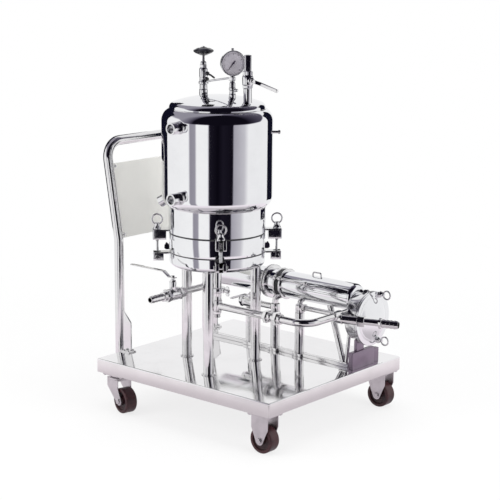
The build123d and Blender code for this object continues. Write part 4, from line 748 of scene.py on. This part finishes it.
# %% Main line and inlet tail
T = out(17)
corner = np.array([397.0, 36.0, 424.0])
path = rounded([centre + [17, 0, MAIN_Z], [397, -144, MAIN_Z], [397, 10, MAIN_Z], [397, 108, MAIN_Z]], 62, 16)
surfaces = [tube(path, 14.2, 0, 40), rod([397, 12, MAIN_Z], [397, 60, MAIN_Z], 18.5, 2)]
for x in (200, 248):
    surfaces += [hexagon([x, -144, MAIN_Z], X, 45, 16),
                 rod([x + 14, -144, MAIN_Z], [x + 30, -144, MAIN_Z], 19, 1.5)]
along = [(0, 0), (18, 0), (18, 24), (16.5, 25), (16.5, 88), (12.4, 90), (12.4, 172), (0, 172)]
surfaces += [turned(rounded(along, 1, 3), corner, T, 40), hexagon(corner + 86 * T, T, 38, 28),
             welded(corner + 24 * T, T, 17.5),
             barbed(corner + 170 * T, T, 16, 74, 11.5)]
build("main_pipe", surfaces, pipe_steel, ["main_line"])

# %% Rail, uprights and branch pipes
HOUSE = np.array([0.0, 190.0, 473.0])
CHAMBER = np.array([0.0, 190.0, 403.0])
RAIL_Y, RAIL_TOP = 150.0, DECK_TOP + 14
surfaces = [block([24, RAIL_Y, DECK_TOP], X, Y, (708, 22, 14), 1.5, 1.0)]
for x, top in ((-122, 357), (8, 366), (132, 380)):
    surfaces += [rod([x, RAIL_Y, RAIL_TOP - 12], [x, RAIL_Y, top], 19, 1, 48),
                 welded([x, RAIL_Y, RAIL_TOP], Z, 19.6),
                 block([x, RAIL_Y, DECK_TOP], X, Y, (44, 44, 13), 1.5, 3)]
build("side_uprights", surfaces, pipe_steel, ["post_frame"])
knee = rounded([[8, 150, 392], [8, 150, 424], [70, 191, 446]], 24, 9)
bend = rounded([[132, 150, 392], [132, 150, 428], [152, 186, 442]], 20, 9)
surfaces = [tube([[-72, RAIL_Y, 381], [-8, RAIL_Y, 381]], 12.7, 0, 36), tube(knee, 12.7, 0, 36),
            tube(bend, 10.5, 0, 32),
            turned(rounded([(0, 366), (18.5, 366), (18.5, 396), (13, 399), (0, 399)], 1.5, 4),
                   [8, RAIL_Y, 0], Z, 44),
            turned(rounded([(0, 380), (17.5, 380), (17.5, 410), (11, 415), (0, 415)], 1.5, 4),
                   [132, RAIL_Y, 0], Z, 44),
            tube([[142, RAIL_Y, 402], [386, RAIL_Y, 402]], 10, 0, 32), hexagon([147, RAIL_Y, 402], X, 26, 16),
            hexagon([366, RAIL_Y, 402], X, 26, 14)]
build("branch_tubes", surfaces, pipe_steel, ["branch_pipes"])

# %% Side valve
SIDE = np.array([-122.0, RAIL_Y, 381.0])
build("side_ball_valve", ball_valve(SIDE, X, Z, 100, 23, 30), bright_steel, ["side_valve"])
build("side_valve_handle", lever(SIDE + 30.3 * Z, Z, -Y, 122, 4, 30, 18), pipe_steel, ["side_lever"],
      "side_valve_lever")

# %% Side housing
ends = rounded([(0, -325), (53, -325), (53, 386), (0, 386)], 20, 10)
surfaces = [turned(ends, HOUSE, X, 112)]
build("side_shell", surfaces, mirror_steel, ["side_housing"])
surfaces = []
for x, radius in ((6, 61), (34, 61), (-52, 67), (-40, 67)):
    collar = rounded([(50, x), (radius, x), (radius, x + 8), (50, x + 8)], 1.6, 4)
    surfaces.append(turned([*collar, collar[0]], HOUSE, X, 112))
grip = HOUSE + [0, -52, 30]
surfaces += [rod(grip + 12 * X, grip + 164 * X, 5, 1.5), rod(grip + 10 * X, grip + 22 * X, 10, 2.5),
             rod(grip + 32 * X, grip + 44 * X, 9, 2.5),
             turned(arc((0, 0), 9, -90, 90, 15), grip + 167 * X, X, 32)]
bail = rounded([[164, 190, 524], [164, 190, 541], [204, 190, 541], [204, 190, 524]], 12, 7)
surfaces.append(tube(bail, 3.2, 0, 16))
build("side_shell_bands", surfaces, pipe_steel)
build("side_shell_seal", [turned(rounded([(50, -44), (64.5, -44), (64.5, -40), (50, -40)], 1.2, 4), HOUSE,
                                 X, 96),
                          turned(rounded([(50, 14), (57, 14), (57, 34), (50, 34)], 1.2, 4), HOUSE, X, 96)],
      seal_rubber)

# %% End chamber and cover
BOLT_ANGLES = (116, -112)


def bolt_frame(angle):
    """Unit vectors away from the chamber's axis at a bolt's angle, and across it."""
    a = radians(angle)
    return np.array([0, -cos(a), sin(a)]), np.array([0, sin(a), cos(a)])


def notched(low, high, radius, gap=7.0):
    """A round rim with a slot for each swing bolt, as a flat ring outline carried along the axis."""
    a = np.linspace(0, 2 * pi, 240, endpoint=False)
    r = np.full(240, radius)
    for at in BOLT_ANGLES:
        near = np.abs((np.degrees(a) - at + 180) % 360 - 180) < np.degrees(gap / radius)
        r = np.where(near, radius - 16, r)
    flat = np.stack([-r * np.cos(a), r * np.sin(a)], -1)[::-1]
    return folded(flat, plate_steps(high - low, 1.4), CHAMBER + low * X, Y, Z)


drum = rounded([(0, 386), (92, 386), (92, 440), (0, 440)], 6, 6)
surfaces = [turned(drum, CHAMBER, X, 120), notched(438, 446, 105)]
for angle in BOLT_ANGLES:
    away, aside = bolt_frame(angle)
    cheek = rounded([(-10, -8), (10, -8), (10, 8), (4, 13), (-4, 13), (-10, 8)], 3, 4, closed=True)
    for y in (-8, 14):
        surfaces.append(folded(cheek, plate_steps(6),
                               CHAMBER + 396 * X + 90 * away + (y - 6 if y > 0 else y) * aside, X, away))
build("chamber_drum", surfaces, bright_steel, ["end_chamber"])
dish_r = np.linspace(83, 0, 22)
dish = np.stack([dish_r, 456 + 24 - (155.5 - np.sqrt(155.5 ** 2 - dish_r ** 2))], -1)
dish = dish[dish[:, 0] < 80]
crown = turned(np.concatenate([[(0, 452), (88, 452), (88, 456.2), (84, 457), (81, 458.5)], dish]), CHAMBER,
               X, 120)
build("chamber_cover", [notched(447, 456, 105), crown], mirror_steel, ["end_cover"])
build("cover_seal", [turned(rounded([(60, 445.5), (102.5, 445.5), (102.5, 447.5), (60, 447.5)], 0.6, 3),
                            CHAMBER, X, 96)], seal_rubber)
surfaces = []
for angle in BOLT_ANGLES:
    away, aside = bolt_frame(angle)
    eye = CHAMBER + 398 * X + 98 * away
    seat = CHAMBER + 456 * X + 98 * away
    surfaces += [rod(eye - 13 * aside, eye + 13 * aside, 4.4),
                 rod(eye - 6.5 * aside, eye + 6.5 * aside, 8, 1.5), rod(eye, eye + 30 * X, 4.6),
                 thread(eye + 28 * X, X, 5.2, 46, 1.8, 0.7), *ring_nut(seat, X, Y, 16, 0.82)]
build("cover_bolts", surfaces, bright_steel, ["end_bolts"])

# %% Pedestal and splayed stand
# The pedestal's blocks take the dark purple steel as painted dark reflection; the small block at y 280 is a
# dark slab added to paint the dark patch at the pedestal's far end.
surfaces = [block([405, 191, DECK_TOP], X, Y, (20, 140, 68), 1.5, 1.5),
            block([401, 280, DECK_TOP], X, Y, (18, 36, 56), 1.5, 1.5),
            block([403, 176, DECK_TOP + 60], X, Y, (14, 46, 52), 1.5, 1.5)]
build("pedestal", surfaces, dark_reflection_steel, ["housing_stand"])
surfaces = [block([357, RAIL_Y, RAIL_TOP], X, Y, (40, 30, 6), 1.2, 2),
            tube([[350, RAIL_Y, RAIL_TOP + 3], [255, 180, 436]], 13, 0, 40),
            tube([[363, RAIL_Y, RAIL_TOP + 3], [363, 181, 424]], 7.5, 0, 28)]
build("splayed_stand", surfaces, pipe_steel, ["tube_stand"])

# %% [markdown]
# ## The trolley
# One bent tube makes the handle, with a plain sheet between its posts. The deck is a folded tray whose top
# is almost a mirror and whose skirt is satin.

# %% Push handle
FOOT_X = -DECK_X / 2 - 20
TOP_X = FOOT_X - (1034 - 652) * 0.174
bars = [[FOOT_X, -258, DECK_TOP - 48], [FOOT_X, -258, 652], [TOP_X, -258, 1034], [TOP_X, 258, 1034],
        [FOOT_X, 258, 652],
        [FOOT_X, 258, DECK_TOP - 48]]
build("handle_tube", [tube(rounded(bars, 72, 14), 19, 0, 44)], pipe_steel, ["push_handle"])
surfaces = []
for y in (-258, 258):
    gusset = rounded([(FOOT_X + 17, DECK_TOP), (FOOT_X + 63, DECK_TOP), (FOOT_X + 63, 324),
                      (FOOT_X + 17, 376)], 4, 4, closed=True)
    surfaces += [folded(gusset, plate_steps(6), np.array([0.0, y + 3, 0]), X, Z),
                 block([-412, y, DECK_TOP], X, Y, (50, 40, 5), 1.2, 4)]
    for at in (-400, -424):
        surfaces += [screw([at, y + way * 13, DECK_TOP + 5], Z, 4.5) for way in (-1, 1)]
build("handle_brackets", surfaces, pipe_steel, ["handle_gussets"])

# %% Board
LEAN = unit([-0.174, 0, 1])
FRONT = np.cross(Y, LEAN)
middle = np.array([FOOT_X - 150 * 0.174, 0, 802.0])
sheet = rounded([(-238, -148), (238, -148), (238, 148), (-238, 148)], 5, 5, closed=True)
build("board_sheet", [folded(sheet, plate_steps(3, 0.7), middle - 1.5 * FRONT, Y, LEAN)], board_sheet,
      ["sign_board"])
surfaces = [screw(middle + 1.2 * FRONT + y * Y + h * LEAN, FRONT, 4.5, 4) for y in (-226,
                                                                                    226) for h in (-136, 136)]
build("board_screws", surfaces, bright_steel)

# %% Deck tray
edge = rounded([(-438, -407), (438, -407), (438, 407), (-438, 407)], 5, 6, closed=True)
top_steps = [(-3.2, 198.0), (-0.02, 198.0), *[(r - 4, 200 + h) for r, h in arc((0, 0), 4, 0, 90, 6)]]
build("deck_sheet", [folded(edge, top_steps, [0, 0, 0], X, Y)], deck_steel, ["deck_tray"])
steps = rounded([(-3, 199), (0, 199), (0, 150), (-16, 150), (-16, 153), (-3, 153), (-3, 199)], 1.6, 4)
points, faces = folded(edge, steps, [0, 0, 0], X, Y)
build("deck_skirt", [(points, [grid_faces(len(steps), len(edge), wrap_rows=True)])], skirt_steel)


# %% Castor forks
def cheek(radius, wheel_x, top):
    """Outline of a fork's side plate: a box at the top joined by tangents to a round end at the axle."""
    ends = []
    for corner, way in ((np.array([-38.0, 96.0]), 1), (np.array([38.0, 96.0]), -1)):
        gap = corner - [wheel_x, 50]
        ends.append(np.degrees(np.arctan2(gap[1], gap[0]) + way * np.arccos(radius / np.linalg.norm(gap))))
    low = arc((wheel_x, 50), radius, ends[0] - (360 if ends[0] > 0 else 0), ends[1], 20)
    return np.concatenate([[(-38, 96)], low, [(38, 96), (38, top), (-38, top)]])


def castor(place, heading, trail, top, turns):
    """One castor: fork with plates, axle with nuts, a top plate and a swivel disc or mounting plate; the tyre
    with worn edges and dark recessed sides is made by wheel().
    """
    ahead, across = out(heading), out(heading + 90)
    place = np.array([*place, 0.0])
    axle = place + trail * ahead + 50 * Z
    outline = cheek(17, trail, top)
    surfaces = [folded(outline, plate_steps(4, 1), place + (y + 4) * across, ahead, Z) for y in (28, -32)]
    surfaces += [rod(axle - 36 * across, axle + 36 * across, 6), hexagon(axle + 32 * across, across, 20, 7),
                 hexagon(axle - 32 * across, -across, 20, 7),
                 block(place + (top - 6) * Z, ahead, across, (76, 64, 6), 2, 4)]
    if turns:
        surfaces.append(turned(rounded([(0, top - 2), (40, top - 2), (40, top + 3), (36, top + 5),
                                        (0, top + 5)], 2, 5), place, Z, 48))
    else:
        surfaces.append(block(place + (DECK_TOP - SKIRT - 5) * Z, X, Y, (104, 84, 5), 1.2, 8))
    return surfaces, axle, across


def wheel(name, node, body, axle, across):
    """A solid tyre and the recessed discs and hub inside it."""
    half = [(38, 24), (45, 24), *arc((45, 19), 5, 90, 0, 7), (50.0, 6), (49.6, 0)]
    outline = half + [(r, -h) for r, h in half[::-1]]
    build(name + "_tyre", [turned([*outline, half[0]], axle, across, 96)], wheel_tread, [node], body)
    hub = [(0, 27), (10, 27), (15, 26), (17, 24), (18, 17), (30, 15.5), (35, 17), (38.2, 23.4), (38.2, 0)]
    hub = hub + [(r, -h) for r, h in hub[::-1]]
    build(name + "_disc", [turned(hub, axle, across, 64)], wheel_side, body=body)


plates = []
for way, side in ((-1, "near"), (1, "far")):
    surfaces, axle, across = castor((382, way * 361), 0, 0, 145, False)
    plates += surfaces
    plates += [screw([382 + x, way * 361 + y, 145], -Z, 5) for x in (-44, 44) for y in (-34, 34)]
    wheel("end_wheel_" + side, "wheel_far_end_" + side, side + "_end_wheel", axle, across)
    surfaces, axle, across = castor((-361, way * 361), -13, 44, 132, True)
    build("swivel_castor_" + side, surfaces, castor_plated, ["swivel_fork_" + side], side + "_swivel",
          smooth=28)
    wheel("handle_wheel_" + side, "wheel_handle_" + side, side + "_handle_wheel", axle, across)
build("fixed_castors", plates, castor_plated, ["fixed_forks"], smooth=28)
surfaces = []
for way in (-1, 1):
    place = np.array([-361.0, way * 361, 0])
    surfaces += [block(place + 145 * Z, X, Y, (104, 84, 5), 1.2, 8),
                 turned(rounded([(0, 138.5), (33, 138.5), (33, 145), (0, 145)], 1.5, 4), place, Z, 48),
                 rod(place + 125 * Z, place + 139 * Z, 8)]
    surfaces += [screw(place + [x, y, 145], -Z, 5) for x in (-44, 44) for y in (-34, 34)]
build("castor_plates", surfaces, castor_plated, ["swivel_plates"])

# %% [markdown]
# ## The studio
# Polished steel shows its surroundings, so the surroundings are made with care. The floor and the world
# are plain and pale. Round the object stands a tent of cards that only reflections see: white cards at the
# sides, a dark gap behind the camera and a dark roof, which give the vessel its upright black and
# white bands.

# %% Floor and world
FLOOR_HALF = 14.0
floor_mesh = bpy.data.meshes.new("studio_floor")
floor_mesh.from_pydata([(-FLOOR_HALF, -FLOOR_HALF, 0), (FLOOR_HALF, -FLOOR_HALF, 0),
                        (FLOOR_HALF, FLOOR_HALF, 0),
                        (-FLOOR_HALF, FLOOR_HALF, 0)], [], [(0, 1, 2, 3)])
floor = bpy.data.objects.new("studio_floor", floor_mesh)
bpy.context.scene.collection.objects.link(floor)
paper = bpy.data.materials.new("studio_paper")
paper.use_nodes = True
tree = paper.node_tree
tree.nodes.remove(tree.nodes["Principled BSDF"])
seen = add(tree, "ShaderNodeLightPath")
matt = add(tree, "ShaderNodeBsdfDiffuse", Color=(0.93, 0.93, 0.93, 1))
glow = add(tree, "ShaderNodeEmission", Color=(1, 1, 1, 1), Strength=1.0)
dusk = add(tree, "ShaderNodeEmission", Color=(1.0, 0.93, 0.99, 1))
dusk_fade = add(tree, "ShaderNodeMapRange", From_Min=0.75, From_Max=1.25, To_Min=0.6, To_Max=0.95,
                interpolation_type="SMOOTHSTEP")
place = add(tree, "ShaderNodeTexCoord")
far = add(tree, "ShaderNodeVectorMath", operation="LENGTH")
fade = add(tree, "ShaderNodeMapRange", From_Min=0.7, From_Max=2.6, To_Min=0.78, To_Max=1.0,
           interpolation_type="SMOOTHSTEP")
share = add(tree, "ShaderNodeMath", operation="MULTIPLY")
straight = add(tree, "ShaderNodeMixShader")
mirrored = add(tree, "ShaderNodeMixShader")
tree.links.new(place.outputs["Object"], far.inputs[0])
tree.links.new(far.outputs["Value"], fade.inputs["Value"])
tree.links.new(far.outputs["Value"], dusk_fade.inputs["Value"])
tree.links.new(dusk_fade.outputs["Result"], dusk.inputs["Strength"])
tree.links.new(seen.outputs["Is Camera Ray"], share.inputs[0])
tree.links.new(fade.outputs["Result"], share.inputs[1])
tree.links.new(share.outputs["Value"], straight.inputs["Fac"])
tree.links.new(matt.outputs["BSDF"], straight.inputs[1])
tree.links.new(glow.outputs["Emission"], straight.inputs[2])
tree.links.new(seen.outputs["Is Glossy Ray"], mirrored.inputs["Fac"])
tree.links.new(straight.outputs["Shader"], mirrored.inputs[1])
tree.links.new(dusk.outputs["Emission"], mirrored.inputs[2])
tree.links.new(mirrored.outputs["Shader"], tree.nodes["Material Output"].inputs["Surface"])
floor_mesh.materials.append(paper)

world = bpy.data.worlds.new("studio_world")
bpy.context.scene.world = world
world.use_nodes = True
tree = world.node_tree
seen = add(tree, "ShaderNodeLightPath")
direct = add(tree, "ShaderNodeMath", operation="MAXIMUM")
through = add(tree, "ShaderNodeMath", operation="MAXIMUM")
level_of = add(tree, "ShaderNodeMapRange", To_Min=0.62, To_Max=1.0)
tree.links.new(seen.outputs["Is Camera Ray"], direct.inputs[0])
tree.links.new(seen.outputs["Is Glossy Ray"], direct.inputs[1])
tree.links.new(direct.outputs["Value"], through.inputs[0])
tree.links.new(seen.outputs["Is Transmission Ray"], through.inputs[1])
tree.links.new(through.outputs["Value"], level_of.inputs["Value"])
tree.links.new(level_of.outputs["Result"], tree.nodes["Background"].inputs["Strength"])
tree.nodes["Background"].inputs["Color"].default_value = (1, 1, 1, 1)

# %% Tent of cards
TENT_RADIUS = 1.7
TENT_HEIGHT = 2.7
columns, rows = 640, 140
turn = np.linspace(0, 2 * pi, columns, endpoint=False)[None, :]
lift = np.linspace(0, pi / 2, rows)[:, None]
toward = np.array([sin(AZIMUTH), -cos(AZIMUTH), 0])
spread = np.cos(turn)[..., None] * toward + np.sin(turn)[..., None] * level
tent_round = TENT_RADIUS * np.cos(lift)[..., None] * spread
points = tent_round + TENT_HEIGHT * np.sin(lift)[..., None] * np.array([0, 0, 1.0])
tent_mesh = bpy.data.meshes.new("studio_tent")
tent_mesh.from_pydata(points.reshape(-1, 3).tolist(), [], grid_faces(rows, columns).tolist())
degrees = (np.degrees(turn) + 180) % 360 - 180 + 0 * lift
CARDS = [(-180, 0.95), (-113, 0.95), (-58, 1.0), (-55, 0.32), (-45, 0.36), (-42, 1.0), (-21, 1.0),
         (-18.5, 0.012),
         (-2, 0.004), (8, 0.012), (27, 0.006), (29, 0.42), (52, 0.62), (62, 0.95), (110, 0.95), (180, 0.95)]
EAVES = [(-180, 58), (-152, 56), (-142, 38), (-85, 38), (-65, 28), (60, 27), (95, 30), (150, 56), (180, 58)]
ROOF = [(-180, 0.33), (-78, 0.33), (-50, 0.006), (60, 0.006), (90, 0.06), (180, 0.2)]
brightness = np.interp(degrees, [c[0] for c in CARDS], [c[1] for c in CARDS])
eaves = np.interp(degrees, [c[0] for c in EAVES], [c[1] for c in EAVES])
roof = np.clip((np.degrees(lift) - eaves) / 3, 0, 1)
brightness = brightness * (1 - roof) + np.interp(degrees, [c[0] for c in ROOF], [c[1] for c in ROOF]) * roof
tint = np.stack([brightness ** 1.03, brightness ** 1.07, brightness ** 0.93, np.ones_like(brightness)], -1)
tent_mesh.attributes.new("card", "FLOAT_COLOR", "POINT").data.foreach_set("color",
                                                                          tint.astype(np.float32).ravel())
cloth = bpy.data.materials.new("studio_cards")
cloth.use_nodes = True
tree = cloth.node_tree
tree.nodes.remove(tree.nodes["Principled BSDF"])
card = add(tree, "ShaderNodeAttribute", attribute_name="card")
glow = add(tree, "ShaderNodeEmission", Strength=1.0)
tree.links.new(card.outputs["Color"], glow.inputs["Color"])
tree.links.new(glow.outputs["Emission"], tree.nodes["Material Output"].inputs["Surface"])
tent_mesh.materials.append(cloth)
tent = bpy.data.objects.new("studio_tent", tent_mesh)
bpy.context.scene.collection.objects.link(tent)
tent.visible_camera = tent.visible_diffuse = tent.visible_shadow = tent.visible_transmission = False

# %% [markdown]
# Two tall dark wings stand at the sides of the studio, well outside the part. Only reflections see
# them, and they draw the dark lines along the vessel's edges.

# %% Dark backdrop wings
WING_RADIUS = 0.95
WING_DARK = [0.006, 0.006, 0.016, 1.0]
for side, way, inner_edge in (("left", -1, 107), ("right", 1, 119)):
    a = (way * np.radians(np.linspace(inner_edge, 152, 30)))[:, None, None]
    h = np.linspace(0.6, 1.7, 8)[None, :, None]
    points = WING_RADIUS * (np.cos(a) * toward + np.sin(a) * level) + h * np.array([0, 0, 1.0])
    wing_mesh = bpy.data.meshes.new("studio_wing_" + side)
    wing_mesh.from_pydata(points.reshape(-1, 3).tolist(), [], grid_faces(30, 8, wrap_columns=False).tolist())
    dark = wing_mesh.attributes.new("card", "FLOAT_COLOR", "POINT")
    dark.data.foreach_set("color", np.tile(WING_DARK, 30 * 8).astype(np.float32))
    wing_mesh.materials.append(cloth)
    wing = bpy.data.objects.new("studio_wing_" + side, wing_mesh)
    bpy.context.scene.collection.objects.link(wing)
    wing.visible_camera = wing.visible_diffuse = wing.visible_shadow = wing.visible_transmission = False


# %% Lamps
def softbox(name, place, aim, size, power):
    """A square soft lamp that points from one place to another."""
    lamp = bpy.data.objects.new(name, bpy.data.lights.new(name, "AREA"))
    lamp.data.size = size
    lamp.data.energy = power
    back = unit(np.array(place, float) - np.array(aim, float))
    side, across = crossways(back)
    lamp.matrix_world = Matrix.Translation(place) @ Matrix(np.stack([side, across, back],
                                                                    1).tolist()).to_4x4()
    lamp.visible_glossy = False
    bpy.context.scene.collection.objects.link(lamp)


softbox("lamp_left", (-2.6, -4.2, 3.2), (0, 0, 0.6), 2.6, 90)
softbox("lamp_right", (4.6, 0.4, 3.0), (0, 0, 0.6), 2.6, 70)
softbox("lamp_top", (0.2, 0.2, 4.2), (0, 0, 0.5), 3.0, 60)
print("studio ready")

# %% [markdown]
# ## Steel on the solid parts
# Small parts keep the shape of the solid model and take only a finish.

# %% Finish for each solid
FINISHES = {
    "steel_mirror": mirror_steel, "steel_pipe": pipe_steel, "steel_bright": bright_steel, "deck": deck_steel,
    "castor_zinc": castor_plated, "wheel": wheel_side, "black": black_moulded, "dial": dial_face}
for part in frame["record"]["subparts"]:
    node = nodes[part["node"]]
    node.data.materials.clear()
    node.data.materials.append(FINISHES[part["material_slot"]])
print("solids dressed:", len(nodes))
